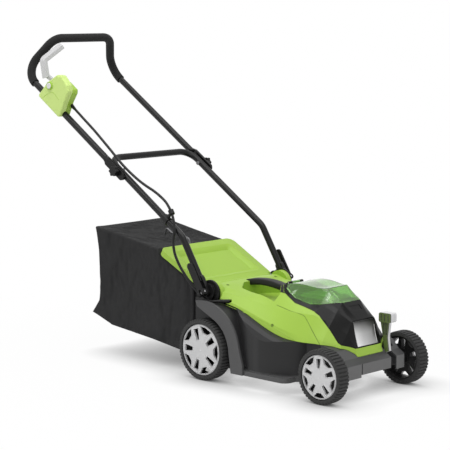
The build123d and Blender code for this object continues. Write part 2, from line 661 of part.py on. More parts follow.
# Carry handle over the pocket, with its rear end let into the cover
BAR_HALF_Y = 11.0
BAR_TOP = [(128, 263), (150, 272), (195, 278.5), (235, 279.5), (270, 275), (297, 269)]
BAR_BOTTOM = [(297, 252), (265, 259), (232, 263), (195, 262), (150, 255), (128, 249)]
with BuildPart() as carry_handle:
    with BuildSketch(Plane.XZ):
        with BuildLine():
            over = Spline(*BAR_TOP)
            under = Spline(*BAR_BOTTOM)
            Line(over @ 1, under @ 0)
            Line(under @ 1, over @ 0)
        make_face()
    extrude(amount=BAR_HALF_Y, both=True)
    long_edges = carry_handle.edges().filter_by(GeomType.BSPLINE)
    fillet(long_edges, 5)

save(carry_handle, "carry_handle")

# Top cover: the hood without the cowl and lid, with the pocket, the cheeks and room for the brackets
with BuildPart() as top_cover:
    add(hood_shell.part)
    add(pocket_tub.part)
    add(zone(COWL_EDGE, COWL_REAR, COVER_GAP), mode=Mode.SUBTRACT)
    add(pocket_space.part, mode=Mode.SUBTRACT)
    for way in (-1, 1):
        low, high = sorted((way * (BRACKET_Y[0] - 0.5), way * 180))
        add(block((100, 184), (low, high), (200, 310)), mode=Mode.SUBTRACT)
    add(cheeks.part)
    add(carry_handle.part, mode=Mode.SUBTRACT)
    add(grommet(GROMMET_R + RUN_FIT, 30), mode=Mode.SUBTRACT)

save(top_cover, "top_cover")

with BuildPart() as cable_grommet:
    add(grommet(GROMMET_R, 24))

save(cable_grommet, "cable_grommet")

# Front cowl: the dark frame round the lid, open where the trim panel sits
HINGE_EAR_Y = (16.5, 30.0)
# Shallow finger notch in the front slope, under the edge of the lid
NOTCH = (557.0, 237.5)
NOTCH_TILT = 45.3
NOTCH_SIZE = (16.0, 44.0, 3.0)
LID_KNUCKLE_Y = 16.0
with BuildPart() as front_cowl:
    add(hood_shell.part)
    add(zone(COWL_EDGE, COWL_REAR, 0), mode=Mode.INTERSECT)
    add(zone(LID_EDGE, LID_REAR, COVER_GAP), mode=Mode.SUBTRACT)
    add(pocket_space.part, mode=Mode.SUBTRACT)
    trim_y = (-TRIM_HALF_Y - COVER_GAP, TRIM_HALF_Y + COVER_GAP)
    trim_z = (TRIM_Z[0] - COVER_GAP, TRIM_Z[1] + COVER_GAP)
    add(block((560, 640), trim_y, trim_z), mode=Mode.SUBTRACT)
    with Locations(Location((NOTCH[0], 0, NOTCH[1]), (0, NOTCH_TILT, 0))):
        Box(*NOTCH_SIZE, mode=Mode.SUBTRACT)
    for way in (-1, 1):
        low, high = sorted((way * HINGE_EAR_Y[0], way * HINGE_EAR_Y[1]))
        add(rod(LID_HINGE, LID_BARREL_R, low, high))
        add(block((LID_HINGE[0] - 10, LID_HINGE[0]), (low, high), (278, 283)))
    add(rod(LID_HINGE, LID_PIN_R + RUN_FIT, -40, 40), mode=Mode.SUBTRACT)
    between_ears = (-HINGE_EAR_Y[0], HINGE_EAR_Y[0])
    add(block((LID_HINGE[0] - 6, LID_HINGE[0] + 13), between_ears, (270, 300)), mode=Mode.SUBTRACT)

save(front_cowl, "front_cowl")

with BuildPart() as front_trim:
    add(hood_shell.part)
    add(block((560, 640), (-TRIM_HALF_Y, TRIM_HALF_Y), TRIM_Z), mode=Mode.INTERSECT)

save(front_trim, "front_trim")

# Battery lid with its hinge knuckle, and the pin it turns on
with BuildPart() as battery_lid:
    add(hood_shell.part)
    add(zone(LID_EDGE, LID_REAR, 0), mode=Mode.INTERSECT)
    for way in (-1, 1):
        low, high = sorted((way * (LID_KNUCKLE_Y + 0.5), way * 60))
        add(block((LID_HINGE[0] - 8, LID_HINGE[0] + 6), (low, high), (270, 300)), mode=Mode.SUBTRACT)
    add(block((LID_HINGE[0], LID_HINGE[0] + 12), (-LID_KNUCKLE_Y, LID_KNUCKLE_Y), (280, 284)))
    add(rod(LID_HINGE, LID_BARREL_R, -LID_KNUCKLE_Y, LID_KNUCKLE_Y))
    add(rod(LID_HINGE, LID_PIN_R + RUN_FIT, -40, 40), mode=Mode.SUBTRACT)

save(battery_lid, "battery_lid")

with BuildPart() as lid_pin:
    add(rod(LID_HINGE, LID_PIN_R, -HINGE_EAR_Y[1], HINGE_EAR_Y[1]))

save(lid_pin, "lid_pin")

# Battery bay on four posts, and the pack that stands in it
BAY_POSTS = [(410, 42), (500, 42)]
with BuildPart() as battery_bay:
    add(block(BAY_X, (-BAY_HALF_Y, BAY_HALF_Y), BAY_Z))
    inside_y = BAY_HALF_Y - COVER_WALL
    inside_x = (BAY_X[0] + COVER_WALL, BAY_X[1] - COVER_WALL)
    add(block(inside_x, (-inside_y, inside_y), (BAY_Z[0] + COVER_WALL, BAY_Z[1] + 1)), mode=Mode.SUBTRACT)
    with Locations(*[(x, way * y, (FLOOR_Z + BAY_Z[0]) / 2) for x, y in BAY_POSTS for way in (-1, 1)]):
        Cylinder(6, BAY_Z[0] - FLOOR_Z)

save(battery_bay, "battery_bay")

GRIP_RIBS = 5
with BuildPart() as battery_pack:
    add(block(BATTERY_X, (-BATTERY_HALF_Y, BATTERY_HALF_Y), BATTERY_Z))
    chamfer(battery_pack.faces().sort_by(Axis.Z)[-1].edges(), 8)
    for rib in range(GRIP_RIBS):
        x = BATTERY_X[0] + 30 + 14 * rib
        for way in (-1, 1):
            low, high = sorted((way * (BATTERY_HALF_Y - 2), way * (BATTERY_HALF_Y + 1)))
            add(block((x, x + 6), (low, high), (BATTERY_Z[0] + 20, BATTERY_Z[1] - 12)), mode=Mode.SUBTRACT)

save(battery_pack, "battery_pack")

# Motor controller on the deck floor behind the motor
with BuildPart() as controller:
    add(block((246, 296), (-30, 30), (FLOOR_Z, 150)))
    fins = GridLocations(6, 1, 6, 1)
    with Locations((271, 0, 148)):
        with fins:
            Box(2.5, 54, 6, mode=Mode.SUBTRACT)

save(controller, "controller")

# Brackets on the bracket pads, which carry the handle and the flap
BOLT_R = 4.0
BRACKET_DISC = (143.0, 250.0)
with BuildPart() as bracket:
    plate = (-BRACKET_Y[1], -BRACKET_Y[0])
    add(rod(BRACKET_DISC, 36, *plate))
    add(rod(FLAP_HINGE, 12, *plate))
    add(rod(PIVOT, 24, -BRACKET_BOSS_Y, -BRACKET_Y[0]))
    add(block((90, 190), (-170, -140), (200, LEDGE_Z)), mode=Mode.SUBTRACT)
    for centre in (PIVOT, FLAP_HINGE):
        add(rod(centre, BOLT_R + RUN_FIT, -170, -140), mode=Mode.SUBTRACT)

save_pair(bracket, "bracket")

with BuildPart() as flap_rod:
    add(rod(FLAP_HINGE, BOLT_R, -BRACKET_Y[1] + 0.5, BRACKET_Y[1] - 0.5))

save(flap_rod, "flap_rod")

# Discharge flap, drawn on the plane that runs from its hinge to its rear edge
FLAP_LENGTH = math.dist(FLAP_HINGE, FLAP_REAR)
FLAP_X = ((FLAP_REAR[0] - FLAP_HINGE[0]) / FLAP_LENGTH, 0, (FLAP_REAR[1] - FLAP_HINGE[1]) / FLAP_LENGTH)
FLAP_PLANE = Plane((FLAP_HINGE[0], 0, FLAP_HINGE[1]), x_dir=FLAP_X, z_dir=(FLAP_X[2], 0, -FLAP_X[0]))


def flap_block(half_outline, low, high, corner=0):
    """Solid on the flap's plane between two heights, with its two rearmost corners rounded."""
    with BuildPart() as form:
        with BuildSketch(FLAP_PLANE.offset(low)) as plan:
            with BuildLine():
                Polyline(*half_outline, *[(u, -v) for u, v in reversed(half_outline)], close=True)
            make_face()
        extrude(amount=high - low)
        if corner:
            upright = form.edges().filter_by(Axis((0, 0, 0), tuple(FLAP_PLANE.z_dir)))
            fillet(upright.sort_by(Axis.X)[:2], corner)
    return form.part


with BuildPart() as discharge_flap:
    hinge_end = [(0, FLAP_BARREL_Y), (8, FLAP_BARREL_Y), (8, FLAP_HALF_Y[0])]
    add(flap_block([*hinge_end, (FLAP_LENGTH, FLAP_HALF_Y[1])], -14, 3, 22))
    underside = [(12, FLAP_HALF_Y[0] - 4), (FLAP_LENGTH - 4, FLAP_HALF_Y[1] - 4)]
    add(flap_block(underside, -15, -1, 18), mode=Mode.SUBTRACT)
    add(flap_block([(26, 124), (180, 126)], -9, -1, 16))
    add(flap_block([(30, 120), (176, 122)], -6, 4, 14), mode=Mode.SUBTRACT)
    add(rod(FLAP_HINGE, 6.5, -FLAP_BARREL_Y, FLAP_BARREL_Y))
    add(rod(FLAP_HINGE, BOLT_R + RUN_FIT, -140, 140), mode=Mode.SUBTRACT)

save(discharge_flap, "discharge_flap")

# Grass bag: cloth, the stiff frame at its mouth and the wire handle on top
BAG_TOP = [(66.6, 264), (-78.7, 338.8), (-92, 352), (-357, 391)]
BAG_BACK = [(-349, 322), (-346, 229), (-352, 165), (-381, 124)]
BAG_PROFILE = BAG_TOP + BAG_BACK + [(-293, 91), (-114, 73), (14, 57), (66, 100)]
BAG_MIDDLE = (-150.0, 220.0)
BAG_SPAN = (216.0, 165.0)


def bag_form(inset):
    """Bag filled solid, drawn in by inset; its sides are drawn in a little along all their edges."""
    with BuildPart() as form:
        for y, drawn in ((-BAG_HALF_Y, 9), (-BAG_HALF_Y + 22, 0), (BAG_HALF_Y - 22, 0), (BAG_HALF_Y, 9)):
            by_x = 1 - (drawn + inset) / BAG_SPAN[0]
            by_z = 1 - (drawn + inset) / BAG_SPAN[1]
            reach = y * (1 - inset / BAG_HALF_Y)
            with BuildSketch(side(reach)):
                with BuildLine():
                    centre_x, centre_z = BAG_MIDDLE
                    runs = [(by_x * (x - centre_x), by_z * (z - centre_z)) for x, z in BAG_PROFILE]
                    Polyline(*[(centre_x + x, centre_z + z) for x, z in runs], close=True)
                make_face()
        loft(ruled=True)
    return form.part


with BuildPart() as bag_fabric:
    add(bag_form(0))
    add(bag_form(CLOTH), mode=Mode.SUBTRACT)
    add(block((50, 80), (-CHUTE_HALF_Y, CHUTE_HALF_Y), (124, 222)), mode=Mode.SUBTRACT)

save(bag_fabric, "bag_fabric")

with BuildPart() as bag_frame:
    add(block((67, DECK_REAR_X - 0.5), (-140, 140), (116.2, 260)))
    fillet(bag_frame.edges().filter_by(Axis.X), 12)
    mouth_y = CHUTE_HALF_Y + 2
    add(block((60, 80), (-mouth_y, mouth_y), (124, 224)), mode=Mode.SUBTRACT)

save(bag_frame, "bag_frame")

BAG_WIRE = [(-96, 0, 351), (-100, 0, 366), (-139, 0, 377), (-174, 0, 377), (-197, 0, 391), (-206, 0, 366.5)]


def tube(points, radii, outer, inner=0):
    """Round bar or tube along straight runs whose corners are rounded by radii."""
    with BuildPart() as bar:
        with BuildLine():
            way = FilletPolyline(*points, radius=radii)
        with BuildSketch(Plane(way @ 0, z_dir=way % 0)):
            Circle(outer)
            if inner:
                Circle(inner, mode=Mode.SUBTRACT)
        sweep(path=way)
    return bar.part


with BuildPart() as bag_handle:
    add(tube(BAG_WIRE, [6, 10, 10, 6], 3))

save(bag_handle, "bag_handle")


def along(start, end, distance):
    """Point at a distance from start towards end, seen from the side."""
    share = distance / math.dist(start, end)
    return (start[0] + share * (end[0] - start[0]), start[1] + share * (end[1] - start[1]))


def both_sides(points):
    """The right-hand points (x, y, z) of a handle, followed by their mirror images in reverse."""
    return points + [(x, -y, z) for x, y, z in reversed(points)]


# Lower handle: a bent tube with a flat eye at each foot
CLAMP_BOLT_R = 3.0
LEG_START = along(PIVOT, LEG_BEND, 34)
LOWER_WAY = [(x, -LOWER_Y, z) for x, z in (LEG_START, LEG_BEND, LEG_TOP)]
with BuildPart() as lower_handle:
    add(tube(both_sides(LOWER_WAY), [60, 45, 45, 60], TUBE_R, TUBE_R - TUBE_WALL))
    for way in (-1, 1):
        add(arm(PIVOT, along(PIVOT, LEG_BEND, 42), 26, way * EYE_Y[0], way * EYE_Y[1]))
    add(rod(PIVOT, BOLT_R + RUN_FIT, -200, 200), mode=Mode.SUBTRACT)
    add(rod(CLAMP, CLAMP_BOLT_R + RUN_FIT, -200, 200), mode=Mode.SUBTRACT)

save(lower_handle, "lower_handle")

# Bolts of the handle: the pivot bolt carries the cam's cross pin
CAM_X = along((0, 0), (LEG_BEND[0] - PIVOT[0], LEG_BEND[1] - PIVOT[1]), 1)
CAM_PLANE = Plane((PIVOT[0], -CAM_Y, PIVOT[1]), x_dir=(CAM_X[0], 0, CAM_X[1]), z_dir=(0, -1, 0))
CAM_AXLE = Plane(CAM_PLANE.origin, x_dir=CAM_PLANE.x_dir, z_dir=CAM_PLANE.y_dir)
CAM_WIDTH = 26.0
CAM_R = 8.8
CAM_PIN_R = 2.5
with BuildPart() as pivot_bolt:
    add(rod(PIVOT, BOLT_R, -CAM_Y - 4, -BRACKET_Y[0] - 0.4))
    with BuildSketch(CAM_AXLE):
        Circle(CAM_PIN_R)
    extrude(amount=CAM_WIDTH / 2, both=True)

save_pair(pivot_bolt, "pivot_bolt")

with BuildPart() as handle_bolt:
    add(rod(CLAMP, CLAMP_BOLT_R, -FLAT_Y[1] - 5, -158))
    add(rod(CLAMP, 6, -LOWER_Y + TUBE_R + 0.3, -157))

save_pair(handle_bolt, "handle_bolt")

# Cam levers that lock the lower handle
CAM_ARM = 85.0
CAM_HEEL = 2.5
with BuildPart() as cam_lever:
    with BuildSketch(CAM_AXLE):
        Circle(CAM_R)
    extrude(amount=CAM_WIDTH / 2, both=True)
    with BuildSketch(CAM_PLANE.offset(1)):
        with Locations(((CAM_ARM + CAM_HEEL) / 2, 0)):
            SlotCenterToCenter(CAM_ARM - CAM_HEEL, 20)
    extrude(amount=6)
    with BuildSketch(CAM_PLANE.offset(-12)):
        with Locations((-2.5, 0)):
            Rectangle(23, 2 * BOLT_R + 0.6)
    extrude(amount=24, mode=Mode.SUBTRACT)
    with BuildSketch(CAM_AXLE):
        Circle(CAM_PIN_R + RUN_FIT)
    extrude(amount=CAM_WIDTH, both=True, mode=Mode.SUBTRACT)

save_pair(cam_lever, "cam_lever")

# Upper handle: flat ends at the clamp, then a tube bent round to the crossbar
FLAT_WIDTH = 26.0
FLAT_END = 50.0
TUBE_START = along(CLAMP, GRIP_BEND, 64)
UPPER_WAY = [(TUBE_START[0], -UPPER_Y, TUBE_START[1]), (GRIP_BEND[0], -UPPER_Y, GRIP_BEND[1])]
UPPER_WAY.append((GRIP_TOP[0], -GRIP_TOP[1], GRIP_TOP[2]))
GRIP_RADII = [60, 50, 50, 60]
LEG_WAY = along((0, 0), (GRIP_BEND[0] - CLAMP[0], GRIP_BEND[1] - CLAMP[1]), 1)


def flat_end():
    """Flattened end of the upper handle's right-hand leg, running out into the round tube."""
    heel = along(CLAMP, GRIP_BEND, -25)
    toe = along(CLAMP, GRIP_BEND, FLAT_END)
    off = (-LEG_WAY[1] * FLAT_WIDTH / 2, LEG_WAY[0] * FLAT_WIDTH / 2)
    corners = [(heel[0] + off[0], heel[1] + off[1]), (toe[0] + off[0], toe[1] + off[1])]
    corners += [(toe[0] - off[0], toe[1] - off[1]), (heel[0] - off[0], heel[1] - off[1])]
    with BuildPart() as end:
        add(slab(corners, -FLAT_Y[0], -FLAT_Y[1]))
        add(rod(heel, FLAT_WIDTH / 2, -FLAT_Y[0], -FLAT_Y[1]))
        leg = (LEG_WAY[0], 0, LEG_WAY[1])
        with BuildSketch(Plane((toe[0], -sum(FLAT_Y) / 2, toe[1]), x_dir=(0, 1, 0), z_dir=leg)):
            Rectangle(FLAT_Y[1] - FLAT_Y[0], FLAT_WIDTH)
        with BuildSketch(Plane((TUBE_START[0], -UPPER_Y, TUBE_START[1]), x_dir=(0, 1, 0), z_dir=leg)):
            Circle(TUBE_R)
        loft()
    return end.part


with BuildPart() as upper_handle:
    add(tube(both_sides(UPPER_WAY), GRIP_RADII, TUBE_R, TUBE_R - TUBE_WALL))
    add(flat_end())
    mirror(flat_end(), about=Plane.XZ)
    add(rod(CLAMP, CLAMP_BOLT_R + RUN_FIT, -200, 200), mode=Mode.SUBTRACT)

save(upper_handle, "upper_handle")

FOAM_WAY = [(FOAM_START[0], -UPPER_Y, FOAM_START[1])] + UPPER_WAY[1:]
with BuildPart() as foam_grip:
    add(tube(both_sides(FOAM_WAY), GRIP_RADII, FOAM_R, TUBE_R + RUN_FIT))

save(foam_grip, "foam_grip")

# Star knobs on the clamp bolts
KNOB_LOBES = 6
with BuildPart() as handle_knob:
    with BuildSketch(side(-FLAT_Y[1] - 0.8)):
        with Locations(CLAMP):
            Circle(13)
            with PolarLocations(11.5, KNOB_LOBES):
                Circle(4.5)
    extrude(amount=13.5)
    add(rod(CLAMP, CLAMP_BOLT_R + RUN_FIT, -FLAT_Y[1] - 6, -FLAT_Y[1]), mode=Mode.SUBTRACT)

save_pair(handle_knob, "handle_knob")

# Control box: two shells closed round the right-hand tube, the button and the bail
SWITCH_X = (SWITCH_WAY[0], 0, SWITCH_WAY[1])
SWITCH_PLANE = Plane((SWITCH_PLACE[0], 0, SWITCH_PLACE[1]), x_dir=SWITCH_X, z_dir=(0, -1, 0))
SWITCH_Y = (157.0, 181.0, 203.0)
SWITCH_WALL = 4.0


def switch_block(points, y_from, y_to):
    """Solid on the control box's plane, between two distances to the right."""
    with BuildPart() as form:
        with BuildSketch(SWITCH_PLANE.offset(y_from)):
            with BuildLine():
                Polyline(*points, close=True)
            make_face()
        extrude(amount=y_to - y_from)
    return form.part


def tube_space():
    """The space of the handle's tube through the control box."""
    with BuildPart() as space:
        with BuildSketch(Plane((SWITCH_PLACE[0], -UPPER_Y, SWITCH_PLACE[1]), z_dir=SWITCH_X)):
            Circle(TUBE_R + RUN_FIT)
        extrude(amount=150, both=True)
    return space.part


with BuildPart() as switch_box_outer:
    add(switch_block(SWITCH_OUTLINE, SWITCH_Y[1] + 0.3, SWITCH_Y[2]))
    fillet(switch_box_outer.edges().filter_by(Axis.Y), 8)
    fillet(switch_box_outer.faces().sort_by(Axis.Y)[0].edges(), 6)
    chamfer(switch_box_outer.faces().sort_by(Axis.Y)[-1].edges(), 1)
    add(switch_block(SWITCH_CAVITY, SWITCH_Y[1], SWITCH_Y[2] - SWITCH_WALL), mode=Mode.SUBTRACT)
    add(rod(BUTTON, BUTTON_R + 0.1, -SWITCH_Y[2] - 1, -SWITCH_Y[1]), mode=Mode.SUBTRACT)
    add(tube_space(), mode=Mode.SUBTRACT)

save(switch_box_outer, "switch_box_outer")

BAIL_SLOT = [(-40, 36), (4, 36), (4, 66), (-40, 66)]
BAIL_PIN_R = 3.0
with BuildPart() as switch_box_inner:
    add(switch_block(SWITCH_BACK, SWITCH_Y[0], SWITCH_Y[1]))
    fillet(switch_box_inner.edges().filter_by(Axis.Y), 5)
    fillet(switch_box_inner.faces().sort_by(Axis.Y)[-1].edges(), 5)
    chamfer(switch_box_inner.faces().sort_by(Axis.Y)[0].edges(), 1)
    add(switch_block(SWITCH_BACK_CAVITY, SWITCH_Y[0] + SWITCH_WALL, SWITCH_Y[1] + 1), mode=Mode.SUBTRACT)
    add(switch_block(BAIL_SLOT, 162.5, 177.5), mode=Mode.SUBTRACT)
    add(rod(BAIL_HINGE, BAIL_PIN_R + RUN_FIT, -182, -159), mode=Mode.SUBTRACT)
    add(tube_space(), mode=Mode.SUBTRACT)

save(switch_box_inner, "switch_box_inner")

with BuildPart() as push_button:
    add(rod(BUTTON, BUTTON_R, -SWITCH_Y[2] - 6, -SWITCH_Y[2] + 8))
    fillet(push_button.faces().sort_by(Axis.Y)[0].edges(), 2)

save(push_button, "push_button")

with BuildPart() as bail_lever:
    add(rod(BAIL_HINGE, 8, -176, -164))
    add(rod(BAIL_HINGE, BAIL_PIN_R, -180, -160))
    add(arm(BAIL_HINGE, (BAIL_WAY[0][0] - 6, BAIL_WAY[0][2] + 6), 12, -176, -168))
    with BuildLine():
        bail_way = FilletPolyline(*BAIL_WAY, radius=12)
    first = Vector(*BAIL_WAY[1]) - Vector(*BAIL_WAY[0])
    second = Vector(*BAIL_WAY[2]) - Vector(*BAIL_WAY[1])
    with BuildSketch(Plane(bail_way @ 0, x_dir=first.cross(second), z_dir=bail_way % 0)):
        Polygon(*BAIL_SECTION, align=None)
    sweep(path=bail_way)

save(bail_lever, "bail_lever")

# Cable clip: a collar on the lower handle's leg and a ring round the cable
CLIP_RING = CABLE_LOWER[0]
CLIP_RING_WAY = (0.58, -0.1, -0.8)
CLIP_COLLAR = (-20.0, -LOWER_Y, 447.9)


def cylinder(centre, way, radius, length):
    """Round bar centred on a point, along any direction."""
    with BuildPart() as bar:
        with BuildSketch(Plane(centre, z_dir=way)):
            Circle(radius)
        extrude(amount=length / 2, both=True)
    return bar.part


CLIP_ARM = Vector(*CLIP_RING) - Vector(*CLIP_COLLAR)
with BuildPart() as cable_clip:
    leg = along((0, 0), (LEG_TOP[0] - LEG_BEND[0], LEG_TOP[1] - LEG_BEND[1]), 1)
    add(cylinder(CLIP_COLLAR, (leg[0], 0, leg[1]), TUBE_R + 3, 22))
    add(cylinder(CLIP_RING, CLIP_RING_WAY, 8.5, 14))
    add(cylinder(Vector(*CLIP_COLLAR) + CLIP_ARM * 0.58, CLIP_ARM, 5, CLIP_ARM.length * 0.55))
    add(cylinder(CLIP_COLLAR, (leg[0], 0, leg[1]), TUBE_R + RUN_FIT, 60), mode=Mode.SUBTRACT)
    add(cylinder(CLIP_RING, CLIP_RING_WAY, CABLE_R + 1.1, 30), mode=Mode.SUBTRACT)

save(cable_clip, "cable_clip")


def cable(points, gap_from, gap_to):
    """Round cable through corner points, its bends as wide as the runs allow, short at each end."""
    first = Vector(*points[1]) - Vector(*points[0])
    last = Vector(*points[-2]) - Vector(*points[-1])
    start = Vector(*points[0]) + first.normalized() * gap_from
    end = Vector(*points[-1]) + last.normalized() * gap_to
    way = [start, *[Vector(*point) for point in points[1:-1]], end]
    radii = []
    for before, corner, after in zip(way, way[1:], way[2:]):
        run = min((corner - before).length, (after - corner).length)
        turn = math.radians((corner - before).get_angle(after - corner))
        radii.append(0.45 * run / math.tan(turn / 2))
    with BuildPart() as cord:
        add(tube(way, radii, CABLE_R))
    return cord


save(cable(CABLE_UPPER, 3.2, 0.4), "cable_upper")
save(cable(CABLE_LOWER, 0.4, 0.5), "cable_lower")
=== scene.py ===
import logging
import math
from dataclasses import dataclass
from enum import Enum

import bmesh
import bpy
from mathutils import Matrix, Vector, noise
from mathutils.bvhtree import BVHTree


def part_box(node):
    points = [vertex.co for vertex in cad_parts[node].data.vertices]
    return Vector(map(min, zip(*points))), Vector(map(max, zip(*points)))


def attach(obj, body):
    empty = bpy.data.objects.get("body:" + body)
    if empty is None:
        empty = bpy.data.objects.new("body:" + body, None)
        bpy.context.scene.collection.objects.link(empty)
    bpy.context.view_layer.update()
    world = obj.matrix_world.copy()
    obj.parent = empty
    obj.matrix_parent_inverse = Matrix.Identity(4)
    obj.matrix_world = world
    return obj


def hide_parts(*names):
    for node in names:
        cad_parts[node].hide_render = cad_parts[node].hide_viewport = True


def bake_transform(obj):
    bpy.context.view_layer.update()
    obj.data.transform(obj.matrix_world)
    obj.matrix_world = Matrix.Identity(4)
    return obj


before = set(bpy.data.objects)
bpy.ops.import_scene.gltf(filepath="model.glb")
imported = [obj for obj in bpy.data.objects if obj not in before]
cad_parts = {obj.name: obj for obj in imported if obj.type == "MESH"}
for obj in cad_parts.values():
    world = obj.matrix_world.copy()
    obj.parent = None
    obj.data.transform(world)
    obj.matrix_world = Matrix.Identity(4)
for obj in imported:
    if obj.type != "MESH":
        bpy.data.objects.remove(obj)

LOG = logging.getLogger("mower")
MM = 0.001
WELD = 1e-6
ENDS = ("front", "rear")
SIDES = ("right", "left")
EDGE_COSINES = (0.98, 0.75)
# painted highlight: factor that lightens the colour on edges
EDGE_HIGHLIGHT = 1.6
ROUGH_SPREAD = 0.06
COAT_ROUGHNESS = 0.08
Colour = tuple[float, float, float]
Point = tuple[float, float, float]
Flat = tuple[float, float]
Tones = tuple[tuple[float, float], ...]


def metres(point: Point) -> Vector:
    """Point in millimetres as a vector in metres."""
    return Vector(point) * MM


class Tree:
    """A material's node tree while a finish wires it."""

    def __init__(self, name: str) -> None:
        """Start a material that holds only a Principled shader and its output.

        Args:
            name: name of the material.
        """
        self.material = bpy.data.materials.new(name)
        self.material.use_nodes = True
        self.nodes = self.material.node_tree.nodes
        self.shader = self.nodes["Principled BSDF"]

    def add(self, kind: str, **settings: object) -> bpy.types.Node:
        """Add a node.

        Args:
            kind: the node's type, such as ShaderNodeBump.
            settings: properties of the node, and with names that are sockets, their values.

        Returns:
            The new node.
        """
        node = self.nodes.new(kind)
        for name, value in settings.items():
            if hasattr(node, name):
                setattr(node, name, value)
            else:
                node.inputs[name.replace("_", " ").title()].default_value = value
        return node

    def join(self, source: bpy.types.NodeSocket, target: bpy.types.NodeSocket) -> None:
        """Wire one socket to another."""
        self.material.node_tree.links.new(source, target)

    def noise(self, scale: float, detail: float = 3.0, stretch: Point = (1, 1, 1)) -> bpy.types.NodeSocket:
        """Noise on Object coordinates.

        Args:
            scale: how many grains fall on a metre.
            detail: how many octaves it has.
            stretch: factor on each axis.

        Returns:
            The socket that gives the noise's value.
        """
        place = self.add("ShaderNodeTexCoord")
        turn = self.add("ShaderNodeMapping", Scale=stretch)
        grain = self.add("ShaderNodeTexNoise", Scale=scale, Detail=detail)
        self.join(place.outputs["Object"], turn.inputs["Vector"])
        self.join(turn.outputs["Vector"], grain.inputs["Vector"])
        return grain.outputs["Fac"]

    def ramp(self, value: bpy.types.NodeSocket, stops: list[tuple[float, Colour]]) -> bpy.types.NodeSocket:
        """Colours that follow a value.

        Args:
            value: socket with the value.
            stops: places from 0 to 1 and the colour at each.

        Returns:
            The socket that gives the colour.
        """
        band = self.add("ShaderNodeValToRGB")
        while len(band.color_ramp.elements) < len(stops):
            band.color_ramp.elements.new(0.5)
        for element, (place, colour) in zip(band.color_ramp.elements, stops):
            element.position = place
            element.color = (*colour, 1.0)
        self.join(value, band.inputs["Fac"])
        return band.outputs["Color"]

    def mix(self, share: bpy.types.NodeSocket, low: object, high: object) -> bpy.types.NodeSocket:
        """Colour between two others.

        Args:
            share: socket that says how much of the second colour shows.
            low: first colour, as a socket or as numbers.
            high: second colour, as a socket or as numbers.

        Returns:
            The socket that gives the colour.
        """
        node = self.add("ShaderNodeMix", data_type="RGBA")
        self.join(share, node.inputs["Factor"])
        for socket, colour in ((node.inputs[6], low), (node.inputs[7], high)):
            if isinstance(colour, bpy.types.NodeSocket):
                self.join(colour, socket)
            else:
                socket.default_value = (*colour, 1.0)
        return node.outputs[2]

    def edges(self, radius: float) -> tuple[bpy.types.NodeSocket, bpy.types.NodeSocket]:
        """Rounded edges for the light to catch.

        Args:
            radius: radius of the rounding in metres.

        Returns:
            The rounded normal, and a value that is 0 on flats and rises on edges.
        """
        soft = self.add("ShaderNodeBevel", samples=8, Radius=radius)
        plain = self.add("ShaderNodeNewGeometry")
        dot = self.add("ShaderNodeVectorMath", operation="DOT_PRODUCT")
        self.join(soft.outputs["Normal"], dot.inputs[0])
        self.join(plain.outputs["True Normal"], dot.inputs[1])
        return soft.outputs["Normal"], self.band(dot.outputs["Value"], *EDGE_COSINES)

    def band(self, value: bpy.types.NodeSocket, start: float, end: float) -> bpy.types.NodeSocket:
        """Value that runs from 0 to 1 while another runs from start to end.

        Args:
            value: socket with the value that is read.
            start: where the result is 0.
            end: where it reaches 1.

        Returns:
            The socket that gives the result.
        """
        node = self.add("ShaderNodeMapRange", From_Min=start, From_Max=end)
        self.join(value, node.inputs["Value"])
        return node.outputs["Result"]

    def axes(self, kind: str) -> bpy.types.bpy_prop_collection:
        """The X, Y and Z sockets of a texture coordinate.

        Args:
            kind: which coordinate, such as Object or Normal.

        Returns:
            The three sockets.
        """
        place = self.add("ShaderNodeTexCoord")
        parts = self.add("ShaderNodeSeparateXYZ")
        self.join(place.outputs[kind], parts.inputs["Vector"])
        return parts.outputs

    def set(self, values: dict[str, float]) -> None:
        """Set sockets of the shader by their names."""
        for name, value in values.items():
            self.shader.inputs[name].default_value = value

    def bump(self, height: bpy.types.NodeSocket, depth: float, normal: bpy.types.NodeSocket | None) -> None:
        """Give the shader a bumpy normal.

        Args:
            height: socket with the height from 0 to 1.
            depth: height of the bumps in metres.
            normal: normal that the bumps stand on, or None for the surface's own.
        """
        node = self.add("ShaderNodeBump", Strength=1.0, Distance=depth)
        self.join(height, node.inputs["Height"])
        if normal is not None:
            self.join(normal, node.inputs["Normal"])
        self.join(node.outputs["Normal"], self.shader.inputs["Normal"])


